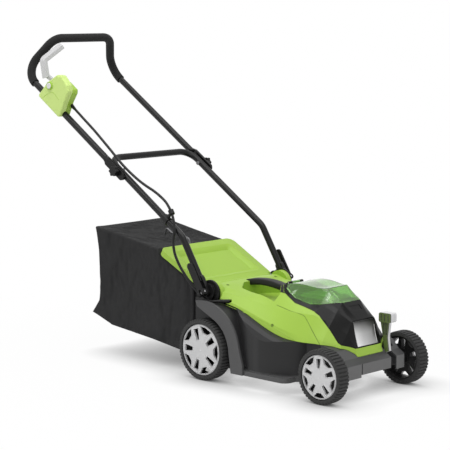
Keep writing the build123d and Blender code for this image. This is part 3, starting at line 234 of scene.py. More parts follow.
@dataclass(frozen=True)
class Finish:
    """Moulded, painted or bare surface with slight mottling, grain, and edges lightened in colour as a
    painted highlight.
    """

    name: str
    slot: str
    colour: Colour
    roughness: float = 0.45
    metallic: float = 0.0
    mottle: float = 0.05
    mottle_scale: float = 18.0
    grain_scale: float = 1400.0
    grain_depth: float = 0.00004
    edge_radius: float = 0.0012
    # share of the painted highlight that lightens the colour on edges
    edge_highlight: float = 0.25
    coat: float = 0.0
    sheen: float = 0.0
    specular: float = 0.5
    stretch: Point = (1, 1, 1)

    def shade(self, factor: float) -> Colour:
        """The finish's colour made lighter or darker by a factor."""
        return tuple(min(1.0, part * factor) for part in self.colour)

    def base(self, tree: Tree) -> bpy.types.NodeSocket:
        """Colour of the flats.

        Args:
            tree: the material being wired.

        Returns:
            The socket that gives the colour.
        """
        cloud = tree.noise(self.mottle_scale, 4.0, self.stretch)
        return tree.mix(cloud, self.shade(1 - self.mottle), self.shade(1 + self.mottle))

    def material(self) -> bpy.types.Material:
        """Make the material, once.

        Returns:
            The finish's material.
        """
        made = bpy.data.materials.get(self.name)
        if made is None:
            tree = Tree(self.name)
            self.wire(tree)
            made = tree.material
        return made

    def wire(self, tree: Tree) -> None:
        """Wire the shader: colour with a painted highlight on the edges, roughness that follows the grain,
        and bumps.

        Args:
            tree: the material being wired.
        """
        normal, edge = tree.edges(self.edge_radius)
        # painted highlight: the colour is lightened where the edge mask rises
        highlight = tree.add("ShaderNodeMath", operation="MULTIPLY")
        tree.join(edge, highlight.inputs[0])
        highlight.inputs[1].default_value = self.edge_highlight
        colour = tree.mix(highlight.outputs[0], self.base(tree), self.shade(EDGE_HIGHLIGHT))
        tree.join(colour, tree.shader.inputs["Base Color"])
        grain = tree.noise(self.grain_scale, 2.0, self.stretch)
        rough = tree.add("ShaderNodeMapRange", To_Min=self.roughness - ROUGH_SPREAD,
                         To_Max=self.roughness + ROUGH_SPREAD)
        tree.join(grain, rough.inputs["Value"])
        tree.join(rough.outputs["Result"], tree.shader.inputs["Roughness"])
        tree.set({"Metallic": self.metallic, "Coat Weight": self.coat, "Coat Roughness": COAT_ROUGHNESS,
                  "Sheen Weight": self.sheen, "Specular IOR Level": self.specular})
        tree.bump(grain, self.grain_depth, normal)


@dataclass(frozen=True)
class WovenCloth(Finish):
    """Plain-woven bag cloth: threads cross at a fixed pitch on the piece's own UV map, over broad folds."""

    pitch: float = 0.0016
    wave_scale: float = 0.314
    wander: float = 0.6
    gap_shade: float = 0.7
    thread_depth: float = 0.0004
    fold_scale: float = 11.0
    fold_depth: float = 0.06

    def wire(self, tree: Tree) -> None:
        """Wire the shader: two sets of threads give the colour and the fine bumps.

        Args:
            tree: the material being wired.
        """
        place = tree.add("ShaderNodeUVMap", uv_map="weave")
        weave = tree.add("ShaderNodeMath", operation="MULTIPLY")
        for socket, way in zip(weave.inputs, ("X", "Y")):
            wave = tree.add("ShaderNodeTexWave", bands_direction=way, Scale=self.wave_scale / self.pitch,
                            Distortion=self.wander)
            tree.join(place.outputs["UV"], wave.inputs["Vector"])
            tree.join(wave.outputs["Fac"], socket)
        colour = tree.mix(weave.outputs[0], self.shade(self.gap_shade), self.base(tree))
        tree.join(colour, tree.shader.inputs["Base Color"])
        tree.set({"Roughness": self.roughness, "Sheen Weight": self.sheen,
                  "Specular IOR Level": self.specular})
        folds = tree.add("ShaderNodeBump", Strength=1.0, Distance=self.fold_depth)
        tree.join(tree.noise(self.fold_scale, 2.0, self.stretch), folds.inputs["Height"])
        tree.bump(weave.outputs[0], self.thread_depth, folds.outputs["Normal"])


@dataclass(frozen=True)
class TintedClear(Finish):
    """Clear tinted plastic with faint flow marks."""

    clearness: float = 0.9
    bending: float = 1.3

    def wire(self, tree: Tree) -> None:
        """Wire the shader: clear, with a coat and slight bumps.

        Args:
            tree: the material being wired.
        """
        tree.join(self.base(tree), tree.shader.inputs["Base Color"])
        tree.set({"Roughness": self.roughness, "IOR": self.bending, "Transmission Weight": self.clearness,
                  "Coat Weight": self.coat})
        normal, _ = tree.edges(self.edge_radius)
        tree.bump(tree.noise(self.grain_scale), self.grain_depth, normal)


@dataclass(frozen=True)
class SilverTrim(Finish):
    """Bright trim with a painted reflection: its tone runs from one edge to the other and darkens towards
    the top.
    """

    across: tuple[float, float] = (-0.043, 0.043)
    # painted reflection: tones from one edge of the trim to the other
    across_reflection: Tones = ((0.0, 0.95), (0.35, 0.6), (1.0, 0.28))
    upward: tuple[float, float] = (0.139, 0.206)
    # painted reflection: tones that darken towards the top
    upward_reflection: Tones = ((0.0, 1.0), (0.5, 0.75), (0.82, 0.3), (1.0, 0.02))

    def base(self, tree: Tree) -> bpy.types.NodeSocket:
        """Colour of the flats: the painted reflection across the trim and towards its top.

        Args:
            tree: the material being wired.

        Returns:
            The socket that gives the colour.
        """
        _, side, height = tree.axes("Object")
        both = tree.add("ShaderNodeMix", data_type="RGBA", blend_type="MULTIPLY")
        both.inputs["Factor"].default_value = 1.0
        # painted reflection: the tone follows the place across the trim and the height
        for socket, value, ends, tones in ((both.inputs[6], side, self.across, self.across_reflection),
                                           (both.inputs[7], height, self.upward, self.upward_reflection)):
            stops = [(at, (tone, tone, tone)) for at, tone in tones]
            tree.join(tree.ramp(tree.band(value, *ends), stops), socket)
        return both.outputs[2]


@dataclass(frozen=True)
class LitFaceBar(Finish):
    """Moulding with painted light: its forward faces are painted lighter than its slopes."""

    # painted light: colour of the forward faces
    face: Colour = (0.14, 0.14, 0.14)
    facing: tuple[float, float] = (0.6, 0.95)

    def base(self, tree: Tree) -> bpy.types.NodeSocket:
        """Colour of the flats, with painted light on the forward faces.

        Args:
            tree: the material being wired.

        Returns:
            The socket that gives the colour.
        """
        # painted light: faces that point forward get the lighter colour
        forward = tree.axes("Normal")[0]
        return tree.mix(tree.band(forward, *self.facing), super().base(tree), self.face)


@dataclass(frozen=True)
class DeckShell(Finish):
    """Dark moulding whose wheel arches and skirts, which stand out furthest, are a lighter satin grey."""

    proud: Colour = (0.085, 0.085, 0.086)
    side: tuple[float, float] = (0.1865, 0.1905)
    skirt: tuple[float, float] = (0.056, 0.05)

    def base(self, tree: Tree) -> bpy.types.NodeSocket:
        """Colour of the flats.

        Args:
            tree: the material being wired.

        Returns:
            The socket that gives the colour.
        """
        _, side, height = tree.axes("Object")
        out = tree.add("ShaderNodeMath", operation="ABSOLUTE")
        tree.join(side, out.inputs[0])
        both = tree.add("ShaderNodeMath", operation="MAXIMUM")
        tree.join(tree.band(out.outputs[0], *self.side), both.inputs[0])
        tree.join(tree.band(height, *self.skirt), both.inputs[1])
        return tree.mix(both.outputs[0], super().base(tree), self.proud)


@dataclass(frozen=True)
class ShadedSideLever(Finish):
    """White moulding whose right side carries a green-tinted painted shade, with darker painted shade in its
    slots.
    """

    side: float = 0.066
    # painted shade: green-tinted colour of the right side, and the band where it starts
    side_shade: Colour = (0.12, 0.17, 0.05)
    side_shade_band: tuple[float, float] = (0.0006, 0.0)
    # painted shade: darker colour in the slots, and the band where it starts
    slot_shade: Colour = (0.01, 0.014, 0.005)
    slot_shade_band: tuple[float, float] = (-0.0032, -0.0026)

    def base(self, tree: Tree) -> bpy.types.NodeSocket:
        """Colour of the flats, with the painted shade on the right side and in the slots.

        Args:
            tree: the material being wired.

        Returns:
            The socket that gives the colour.
        """
        across = tree.axes("Object")[1]
        # painted shade on the right side, and darker painted shade in the slots
        shares = []
        for start, end in (self.side_shade_band, self.slot_shade_band):
            shares.append(tree.band(across, self.side + start, self.side + end))
        side_shade_colour = tree.mix(shares[1], self.side_shade, self.slot_shade)
        return tree.mix(shares[0], super().base(tree), side_shade_colour)


class Paint(Enum):
    """The finishes of the mower."""

    LIME = Finish("lime_plastic", "lime", (0.345, 0.545, 0.062), 0.4, mottle=0.03, grain_depth=0.00001,
                  edge_highlight=0.5, specular=0.35)
    DECK = DeckShell("deck_plastic", "deck_grey", (0.02, 0.02, 0.0205), 0.42, grain_depth=0.00006,
                     edge_highlight=0.8, specular=0.25)
    # painted light on the housing's forward faces
    HOUSING = LitFaceBar("housing_plastic", "housing_grey", (0.05, 0.05, 0.051), 0.42, edge_highlight=0.6,
                       specular=0.3)
    COWL = Finish("gloss_black", "cowl_black", (0.006, 0.006, 0.006), 0.2, grain_depth=0.000008,
                  specular=0.16)
    # painted reflection on the silver trim
    TRIM = SilverTrim("silver_trim", "trim_silver", (0.75, 0.75, 0.76), 0.3, metallic=0.55,
                      grain_depth=0.00001)
    LID = TintedClear("tinted_lid", "lid_green", (0.42, 0.75, 0.25), 0.08, grain_depth=0.000005, coat=0.5)
    BLACK = Finish("matt_black", "black_plastic", (0.009, 0.009, 0.009), 0.42, edge_highlight=0.8, specular=0.22)
    TYRE = Finish("tyre_rubber", "tyre", (0.04, 0.04, 0.04), 0.7, mottle=0.12, grain_depth=0.00008,
                  specular=0.25)
    WHEEL = Finish("wheel_plastic", "wheel_black", (0.012, 0.012, 0.012), 0.5, edge_highlight=0.5, specular=0.25)
    HUBCAP = Finish("hubcap_plastic", "hubcap_grey", (0.6, 0.6, 0.605), 0.36, mottle=0.03, edge_highlight=0.35)
    STEEL = Finish("bare_steel", "steel", (0.55, 0.55, 0.56), 0.35, metallic=1.0, stretch=(1, 6, 1))
    DARK_STEEL = Finish("dark_steel", "steel", (0.16, 0.16, 0.165), 0.4, metallic=0.7, specular=0.3)
    MOTOR = Finish("motor_shell", "motor_metal", (0.3, 0.3, 0.31), 0.4, metallic=0.8)
    TUBE = Finish("tube_paint", "tube_black", (0.008, 0.008, 0.008), 0.24, grain_depth=0.00002,
                  specular=0.22)
    FOAM = Finish("foam_grip", "foam", (0.02, 0.02, 0.02), 0.9, mottle=0.25, mottle_scale=160,
                  grain_scale=700, grain_depth=0.0005, edge_highlight=0.1, sheen=0.1, specular=0.15)
    CLOTH = WovenCloth("woven_cloth", "bag_cloth", (0.044, 0.044, 0.0447), 0.75, mottle=0.35,
                       mottle_scale=8, specular=0.1, stretch=(1.3, 1, 0.7))
    BATTERY = Finish("battery_plastic", "battery_case", (0.17, 0.25, 0.05), 0.5, mottle=0.5,
                     mottle_scale=45, edge_highlight=0.5, specular=0.3)
    CABLE = Finish("cable_sheath", "cable", (0.009, 0.009, 0.009), 0.4, grain_depth=0.00002, specular=0.25)
    WHITE = Finish("white_gloss", "white_plastic", (0.75, 0.75, 0.74), 0.4, mottle=0.02,
                   grain_depth=0.000005, edge_highlight=0.1)
    PALE_GREY = Finish("pale_plastic", "white_plastic", (0.5, 0.5, 0.505), 0.4, mottle=0.03,
                       grain_depth=0.000005, edge_highlight=0.1)
    # painted shade on the right sides of the lever and the knob
    LEVER = ShadedSideLever("lever_plastic", "lever_green", (0.7, 0.7, 0.71), 0.35, mottle=0.02, side=0.0735)
    KNOB = ShadedSideLever("knob_plastic", "lever_green", (0.7, 0.7, 0.71), 0.35, mottle=0.02, side=0.0665)
    # painted light: a paler copy of the lime for the strongly lit switch box
    LIT_LIME = Finish("box_lit_lime", "lime", (0.6, 0.78, 0.24), 0.45, mottle=0.02, grain_depth=0.000005,
                 edge_highlight=0.2, specular=0.3)
    GRIP = Finish("grip_plastic", "black_plastic", (0.012, 0.012, 0.012), 0.5, mottle=0.3, mottle_scale=220,
                  grain_scale=500, grain_depth=0.0002, edge_highlight=0.6, specular=0.3)
    # painted shade: dark lime for the panel grooves and the screw wells
    LIME_SHADE = Finish("lime_groove_shade", "lime", (0.1, 0.17, 0.012), 0.6)


NODE_PAINT: dict[Paint, list[str]] = {
    Paint.DECK: ["deck"],
    Paint.HOUSING: ["front_housing"],
    Paint.LIME: ["top_cover", "discharge_flap", "switch_box_inner"],
    # painted light: the outer switch box gets the paler, lit copy of the lime
    Paint.LIT_LIME: ["switch_box_outer"],
    Paint.COWL: ["front_cowl"],
    Paint.TRIM: ["front_trim"],
    Paint.LID: ["battery_lid"],
    Paint.BLACK: ["bracket_right", "bracket_left", "cable_grommet", "cam_lever_right",
                  "cam_lever_left", "handle_knob_right", "handle_knob_left", "cable_clip", "battery_bay",
                  "bag_frame", "controller", "blade_holder"],
    Paint.TYRE: [f"{end}_tyre_{side}" for end in ENDS for side in SIDES],
    Paint.WHEEL: [f"{end}_wheel_{side}" for end in ENDS for side in SIDES],
    Paint.HUBCAP: [f"{end}_hubcap_{side}" for end in ENDS for side in SIDES],
    Paint.STEEL: ["front_axle", "rear_axle", "height_link", "rotor_shaft", "blade", "blade_bolt", "lid_pin",
                  "flap_rod", "pivot_bolt_right", "pivot_bolt_left"],
    Paint.DARK_STEEL: ["bag_handle", "handle_bolt_right", "handle_bolt_left"],
    Paint.MOTOR: ["motor"],
    Paint.TUBE: ["lower_handle", "upper_handle"],
    Paint.FOAM: ["foam_grip"],
    Paint.BATTERY: ["battery_pack"],
    Paint.WHITE: ["push_button"],
    Paint.PALE_GREY: ["bail_lever"],
    Paint.LEVER: ["height_lever"],
    Paint.KNOB: ["height_knob"],
}


def paint(piece: bpy.types.Object, finish: Paint) -> None:
    """Give a piece or node one finish.

    Args:
        piece: the object.
        finish: its finish.
    """
    piece.data.materials.clear()
    piece.data.materials.append(finish.value.material())


def place(bm: bmesh.types.BMesh, name: str, finish: Paint, smooth: float = 35.0) -> bpy.types.Object:
    """Turn a finished bmesh into an object with its finish.

    Args:
        bm: the mesh, which is freed.
        name: name of the piece.
        finish: its finish.
        smooth: angle in degrees up to which edges shade smoothly.

    Returns:
        The new object.
    """
    for face in bm.faces:
        face.smooth = True
    for edge in bm.edges:
        edge.smooth = len(edge.link_faces) == 2 and edge.calc_face_angle(0.0) < math.radians(smooth)
    mesh = bpy.data.meshes.new(name)
    bm.to_mesh(mesh)
    bm.free()
    piece = bpy.data.objects.new(name, mesh)
    bpy.context.scene.collection.objects.link(piece)
    paint(piece, finish)
    LOG.info("piece %s: %d faces", name, len(mesh.polygons))
    return piece


@dataclass
class Studio:
    """Pale floor, white surroundings, soft lamps and the camera."""

    camera_at: Point = (3437.0, -3516.0, 1074.0)
    looks_at: Point = (52.4, 0.0, 422.6)
    lens: float = 132.3
    lamps: tuple[tuple[Point, tuple[float, float], float], ...] = (
        ((0.3, -0.4, 3.2), (3.2, 3.2), 66.0),
        ((2.6, -2.4, 1.7), (2.0, 2.0), 17.0),
        ((-2.2, -2.8, 1.6), (2.0, 2.0), 9.0),
        ((0.0, -1.5, 2.6), (2.6, 0.12), 7.0),
    )
    lamps_aim: Point = (0.05, 0.0, 0.3)
    soft_light: float = 0.42
    floor_half: float = 30.0
    floor_grey: float = 0.9
    floor_roughness: float = 0.9
    shadow_reach: float = 0.13
    shadow_fade: Flat = (0.5, 1.3)
    glow_share: float = 0.95

    def build(self) -> None:
        """Set up floor, surroundings, lamps and camera."""
        self.lay_floor()
        self.light_world()
        for at, size, power in self.lamps:
            self.hang_lamp(at, size, power)
        self.set_camera()
        bpy.context.scene.view_settings.view_transform = "Standard"

    def seen(self, tree: bpy.types.NodeTree) -> bpy.types.NodeSocket:
        """Value that is 1 for what the camera, a reflection or a clear piece shows.

        Args:
            tree: node tree that gets the nodes.

        Returns:
            The socket that gives the value.
        """
        path = tree.nodes.new("ShaderNodeLightPath")
        total = path.outputs["Is Camera Ray"]
        for name in ("Is Glossy Ray", "Is Transmission Ray"):
            both = tree.nodes.new("ShaderNodeMath")
            both.operation = "MAXIMUM"
            tree.links.new(total, both.inputs[0])
            tree.links.new(path.outputs[name], both.inputs[1])
            total = both.outputs[0]
        return total

    def away(self, tree: bpy.types.NodeTree) -> bpy.types.NodeSocket:
        """Value that rises to 1 with the distance from the mower's shadow.

        Args:
            tree: node tree that gets the nodes.

        Returns:
            The socket that gives the value.
        """
        where = tree.nodes.new("ShaderNodeTexCoord")
        far = tree.nodes.new("ShaderNodeVectorMath")
        far.operation = "LENGTH"
        tree.links.new(where.outputs["Object"], far.inputs[0])
        band = tree.nodes.new("ShaderNodeMapRange")
        band.interpolation_type = "SMOOTHSTEP"
        band.inputs["From Min"].default_value, band.inputs["From Max"].default_value = self.shadow_fade
        band.inputs["To Min"].default_value = self.glow_share
        tree.links.new(far.outputs["Value"], band.inputs["Value"])
        return band.outputs["Result"]

    def lay_floor(self) -> None:
        """Lay the floor: pale, lifted towards white where it is looked at, with a painted shadow where
        ambient occlusion darkens its glow near the mower.
        """
        bm = bmesh.new()
        bmesh.ops.create_grid(bm, x_segments=1, y_segments=1, size=self.floor_half)
        mesh = bpy.data.meshes.new("floor")
        bm.to_mesh(mesh)
        bm.free()
        floor = bpy.data.objects.new("floor", mesh)
        bpy.context.scene.collection.objects.link(floor)
        made = bpy.data.materials.new("floor_paper")
        made.use_nodes = True
        tree = made.node_tree
        shader = tree.nodes["Principled BSDF"]
        shader.inputs["Base Color"].default_value = (self.floor_grey, self.floor_grey, self.floor_grey, 1)
        shader.inputs["Roughness"].default_value = self.floor_roughness
        glow = tree.nodes.new("ShaderNodeEmission")
        # painted shadow: ambient occlusion darkens the glow near the mower
        near = tree.nodes.new("ShaderNodeAmbientOcclusion")
        near.samples = 16
        near.inputs["Distance"].default_value = self.shadow_reach
        near.inputs["Color"].default_value = (1, 1, 1, 1)
        tree.links.new(near.outputs["Color"], glow.inputs["Color"])
        glow.inputs["Strength"].default_value = 1.0
        share = tree.nodes.new("ShaderNodeMath")
        share.operation = "MULTIPLY"
        tree.links.new(self.seen(tree), share.inputs[0])
        tree.links.new(self.away(tree), share.inputs[1])
        both = tree.nodes.new("ShaderNodeMixShader")
        tree.links.new(share.outputs[0], both.inputs[0])
        tree.links.new(shader.outputs[0], both.inputs[1])
        tree.links.new(glow.outputs[0], both.inputs[2])
        tree.links.new(both.outputs[0], tree.nodes["Material Output"].inputs["Surface"])
        floor.data.materials.append(made)

    def light_world(self) -> None:
        """White surroundings for the eye, and a plain soft light from all sides."""
        world = bpy.data.worlds.new("surroundings")
        world.use_nodes = True
        bpy.context.scene.world = world
        tree = world.node_tree
        tree.nodes.clear()
        output = tree.nodes.new("ShaderNodeOutputWorld")
        light = tree.nodes.new("ShaderNodeBackground")
        light.inputs["Color"].default_value = (1, 1, 1, 1)
        light.inputs["Strength"].default_value = self.soft_light
        white = tree.nodes.new("ShaderNodeBackground")
        white.inputs["Color"].default_value = (1, 1, 1, 1)
        both = tree.nodes.new("ShaderNodeMixShader")
        tree.links.new(self.seen(tree), both.inputs[0])
        tree.links.new(light.outputs[0], both.inputs[1])
        tree.links.new(white.outputs[0], both.inputs[2])
        tree.links.new(both.outputs[0], output.inputs["Surface"])

    def hang_lamp(self, at: Point, size: tuple[float, float], power: float) -> None:
        """Hang one soft lamp that faces the mower.

        Args:
            at: place in metres.
            size: sides of the lamp in metres, level and upright.
            power: power in watts.
        """
        data = bpy.data.lights.new("softbox", "AREA")
        data.shape = "RECTANGLE"
        data.size, data.size_y = size
        data.energy = power
        lamp = bpy.data.objects.new("softbox", data)
        lamp.location = at
        view = Vector(self.lamps_aim) - Vector(at)
        lamp.rotation_euler = view.to_track_quat("-Z", "Y").to_euler()
        bpy.context.scene.collection.objects.link(lamp)

    def set_camera(self) -> None:
        """Put the camera where the photograph was taken."""
        data = bpy.data.cameras.new("camera")
        data.lens = self.lens
        data.sensor_width = 36.0
        data.clip_end = 100.0
        camera = bpy.data.objects.new("camera", data)
        camera.location = metres(self.camera_at)
        view = metres(self.looks_at) - metres(self.camera_at)
        camera.rotation_euler = view.to_track_quat("-Z", "Y").to_euler()
        bpy.context.scene.collection.objects.link(camera)
        bpy.context.scene.camera = camera


class Skin:
    """A CAD node's surface, to set pieces on."""

    def __init__(self, node: str) -> None:
        """Read the node's mesh.

        Args:
            node: name of the CAD node.
        """
        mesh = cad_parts[node].data
        faces = [tuple(face.vertices) for face in mesh.polygons]
        self.tree = BVHTree.FromPolygons([vert.co.copy() for vert in mesh.vertices], faces)

    def hit(self, start: Point, way: Point) -> tuple[Vector, Vector] | None:
        """First point of the surface on a straight line.

        Args:
            start: where the line starts, in millimetres.
            way: its direction.

        Returns:
            The point and the surface's normal in metres, or None where the line misses.
        """
        at, normal, index, _ = self.tree.ray_cast(metres(start), Vector(way).normalized())
        return None if index is None else (at, normal)

    def nearest(self, near: Point) -> tuple[Vector, Vector]:
        """Point of the surface nearest to another, and the normal there."""
        at, normal, _, _ = self.tree.find_nearest(metres(near))
        return at, normal


def nurbs(name: str, points: list[Point], detail: int) -> bpy.types.Object:
    """Smooth open line with the given control points.

    Args:
        name: name of the line.
        points: control points in millimetres.
        detail: how many steps lie between two control points.

    Returns:
        A curve object that isn't linked to the scene.
    """
    data = bpy.data.curves.new(name, "CURVE")
    data.dimensions = "3D"
    data.resolution_u = detail
    spline = data.splines.new("NURBS")
    spline.points.add(len(points) - 1)
    for point, at in zip(spline.points, points):
        point.co = (*metres(at), 1.0)
    spline.order_u = 3
    spline.use_endpoint_u = True
    return bpy.data.objects.new(name + "_line", data)


def line_points(line: bpy.types.Object) -> list[Vector]:
    """Points along a curve that has no thickness, in metres."""
    return [vert.co.copy() for vert in bpy.data.meshes.new_from_object(line).vertices]


def line_tube(line: bpy.types.Object, radius: float, roundness: int, caps: bool) -> bmesh.types.BMesh:
    """Mesh of a tube along a curve, which is removed.

    Args:
        line: the curve object.
        radius: radius of the tube in millimetres.
        roundness: how finely it is rounded.
        caps: whether its ends are closed.

    Returns:
        The tube's mesh.
    """
    line.data.bevel_depth = radius * MM
    line.data.bevel_resolution = roundness
    line.data.use_fill_caps = caps
    mesh = bpy.data.meshes.new_from_object(line)
    bpy.data.objects.remove(line)
    bm = bmesh.new()
    bm.from_mesh(mesh)
    bmesh.ops.remove_doubles(bm, verts=bm.verts, dist=WELD)
    bmesh.ops.recalc_face_normals(bm, faces=bm.faces)
    return bm


def bead(points: list[Point], radius: float, name: str, finish: Paint) -> bpy.types.Object:
    """Thin round bead along a smooth line.

    Args:
        points: control points of the line, in millimetres.
        radius: radius of the bead in millimetres.
        name: name of the piece.
        finish: its finish.

    Returns:
        The bead.
    """
    return place(line_tube(nurbs(name, points, 6), radius, 2, True), name, finish)


def slab(outline: list[Vector], width: float, rounding: float, clamp: bool) -> bmesh.types.BMesh:
    """Extrude a side outline across the mower and round the edges of both sides.

    Args:
        outline: points of the outline on its right side, in metres.
        width: how far it reaches from there to the left, in millimetres.
        rounding: how far the rounding reaches from an edge, in millimetres.
        clamp: whether the rounding stops where it meets another.

    Returns:
        The closed form.
    """
    bm = bmesh.new()
    side = bm.faces.new([bm.verts.new(at) for at in outline])
    made = bmesh.ops.extrude_face_region(bm, geom=[side])
    moved = [part for part in made["geom"] if isinstance(part, bmesh.types.BMVert)]
    bmesh.ops.translate(bm, verts=moved, vec=(0, width * MM, 0))
    bmesh.ops.recalc_face_normals(bm, faces=bm.faces)
    rim = [edge for edge in bm.edges if abs(edge.verts[0].co.y - edge.verts[1].co.y) < WELD]
    bmesh.ops.bevel(bm, geom=rim, offset=rounding * MM, offset_type="OFFSET", segments=3, profile=0.5,
                    affect="EDGES", material=-1, clamp_overlap=clamp)
    return bm


def spun(outline: list[Flat], axis: Point, steps: int, closed: bool = False) -> bmesh.types.BMesh:
    """Spin an outline once round an axis through the origin.

    Args:
        outline: points as (radius, way along the axis), in millimetres.
        axis: the axis, which is Y or Z.
        steps: how many faces lie round it.
        closed: whether the outline's last point is joined to its first.

    Returns:
        The spun mesh.
    """
    bm = bmesh.new()
    _, level, upright = axis
    chain = []
    for radius, along in outline:
        chain.append(bm.verts.new((radius * MM, level * along * MM, upright * along * MM)))
    ends = chain[1:] + chain[:1] if closed else chain[1:]
    edges = [bm.edges.new(pair) for pair in zip(chain, ends)]
    bmesh.ops.spin(bm, geom=chain + edges, cent=(0, 0, 0), axis=axis, angle=2 * math.pi, steps=steps,
                   use_merge=True)
    bmesh.ops.remove_doubles(bm, verts=bm.verts, dist=WELD)
    bmesh.ops.recalc_face_normals(bm, faces=bm.faces)
    return bm


@dataclass
class Cable:
    """One length of the control cable, as a smooth tube."""

    name: str
    node: str
    route: list[Point]
    bodies: tuple[str, str]
    bend_from: Point
    bend_to: Point
    diameter: float = 8.0

    def build(self) -> bpy.types.Object:
        """Returns:
            The cable.
        """
        line = nurbs(self.name, self.route, 10)
        path = line_points(line)
        tube = place(line_tube(line, self.diameter / 2, 4, True), self.name, Paint.CABLE)
        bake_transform(tube)
        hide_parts(self.node)
        return tube


@dataclass
class GrassBag:
    """Cloth bag behind the deck: a shell whose panels are drawn in or sag between their seams."""

    profile: tuple[Flat, ...] = (
        (66.0, 262.0), (-78.7, 337.0), (-92.0, 352.0), (-361.0, 396.0), (-351.0, 324.0), (-346.0, 229.0),
        (-352.0, 165.0), (-381.0, 124.0), (-293.0, 92.5), (-114.0, 74.5), (14.0, 58.5), (66.0, 101.0),
    )
    half_width: float = 151.0
    reach_x: Flat = (-381.0, 66.0)
    reach_z: Flat = (58.0, 390.0)
    edge_round: float = 7.0
    mouth_half_y: float = 100.0
    mouth_x: float = 63.0
    mouth_z: Flat = (124.0, 222.0)
    grid: float = 12.0
    cloth: float = 2.2
    fold_size: Point = (75.0, 190.0, 75.0)
    crease_size: Point = (26.0, 90.0, 210.0)
    crease_slice: float = 3.7
    wrinkle_size: Point = (34.0, 60.0, 120.0)
    wrinkle_slice: float = 8.1
    sides_from: float = 120.0
    sides_ease: float = 24.0
    draw_in: float = 10.0
    sides_fold: float = 5.0
    sides_wrinkle: float = 4.0
    sides_full: float = 3.0
    rise_z: Flat = (58.0, 389.0)
    roof_break: Flat = (-92.0, 352.0)
    roof_front: Flat = (66.0, 264.0)
    roof_slopes: Flat = (0.147, 0.515)
    roof_depth: float = 26.0
    roof_until: float = 40.0
    roof_ease: float = 40.0
    sag_x: Flat = (-357.0, -57.0)
    top_sag: float = 13.0
    top_crease: float = 6.0
    top_fold: float = 2.5
    floor_z: Flat = (58.0, 130.0)
    floor_until: float = 60.0
    floor_lift: float = 2.5
    floor_fold: float = 3.0
    back_from: float = -330.0
    back_push: float = 5.0

    def block(self) -> bmesh.types.BMesh:
        """Extrude the side outline across the bag's width, round its seams and cut it into a fine grid.

        Returns:
            The closed form, with flat panels.
        """
        right = [Vector((x * MM, -self.half_width * MM, z * MM)) for x, z in self.profile]
        bm = slab(right, 2 * self.half_width, self.edge_round, False)
        cuts = [(1, y) for y in (-self.mouth_half_y, self.mouth_half_y)] + [(2, z) for z in self.mouth_z]
        reach = (self.reach_x, (-self.half_width, self.half_width), self.reach_z)
        for axis, (low, high) in enumerate(reach):
            steps = int((high - low) / self.grid)
            cuts += [(axis, low + (high - low) * step / steps) for step in range(1, steps)]
        for axis, at in cuts:
            point, way = Vector(), Vector()
            point[axis] = at * MM
            way[axis] = 1.0
            bmesh.ops.bisect_plane(bm, geom=bm.verts[:] + bm.edges[:] + bm.faces[:], plane_co=point,
                                   plane_no=way, dist=WELD)
        return bm

    def open_mouth(self, bm: bmesh.types.BMesh) -> None:
        """Cut the opening that the chute blows into.

        Args:
            bm: the bag's mesh.
        """
        low, high = (z * MM for z in self.mouth_z)
        inside = []
        for face in bm.faces:
            centre = face.calc_center_median()
            level = abs(centre.y) < self.mouth_half_y * MM and low < centre.z < high
            if level and centre.x > self.mouth_x * MM:
                inside.append(face)
        bmesh.ops.delete(bm, geom=inside, context="FACES")

    def arch(self, at: float, ends: Flat) -> float:
        """Value that rises from 0 at one end to 1 half-way and falls to 0 at the other end."""
        return math.sin(math.pi * min(max((at - ends[0]) / (ends[1] - ends[0]), 0.0), 1.0))

    def roof(self, x: float) -> float:
        """Height of the flat top panel.

        Args:
            x: distance along the mower, in millimetres.

        Returns:
            The height in millimetres.
        """
        if x < self.roof_break[0]:
            return self.roof_break[1] + (self.roof_break[0] - x) * self.roof_slopes[0]
        return self.roof_front[1] + (self.roof_front[0] - x) * self.roof_slopes[1]

    def slack(self, at: Vector) -> Vector:
        """How far the cloth moves at a point: panels are drawn in or sag, with creases between the seams.

        Args:
            at: the point on the flat panel, in metres.

        Returns:
            The shift in metres.
        """
        x, y, z = at / MM
        bow = self.arch(x, self.reach_x)
        over = self.arch(y, (-self.half_width, self.half_width))
        rise = self.arch(z, self.rise_z)
        shift = Vector()
        long, wide, high = self.fold_size
        fold = noise.noise(Vector((x / long, y / wide, z / high)))
        long, slant, wide = self.crease_size
        crease = noise.noise(Vector((x / long + y / slant, y / wide, self.crease_slice)))
        long, slant, high = self.wrinkle_size
        wrinkle = noise.noise(Vector((x / long + z / slant, self.wrinkle_slice, z / high)))
        if abs(y) > self.sides_from:
            side = math.copysign(1.0, y) * min(1.0, (abs(y) - self.sides_from) / self.sides_ease)
            rough = self.sides_fold * fold + self.sides_wrinkle * abs(wrinkle)
            inward = self.draw_in * math.sqrt(max(0.0, bow * rise))
            shift.y -= side * (inward + rough * rise * min(1.0, self.sides_full * bow))
        if z > self.roof(x) - self.roof_depth and x < self.roof_until:
            span = self.arch(x, self.sag_x)
            ease = min(1.0, (self.half_width - abs(y)) / self.roof_ease)
            drop = self.top_sag * over * span + self.top_crease * abs(crease) * span + self.top_fold * fold
            shift.z -= ease * drop
        if self.floor_z[0] < z < self.floor_z[1] and x < self.floor_until:
            shift.z += over * bow * (self.floor_lift + self.floor_fold * fold)
        if x < self.back_from:
            shift.x += self.back_push * over * rise * (1.0 + fold)
        return shift * MM

    def weave_map(self, bm: bmesh.types.BMesh) -> None:
        """Lay the weave on each panel from the side that the panel faces.

        Args:
            bm: the bag's mesh.
        """
        layer = bm.loops.layers.uv.new("weave")
        for face in bm.faces:
            facing = max(range(3), key=lambda axis: abs(face.normal[axis]))
            axes = [axis for axis in range(3) if axis != facing]
            for loop in face.loops:
                loop[layer].uv = tuple(loop.vert.co[axis] for axis in axes)

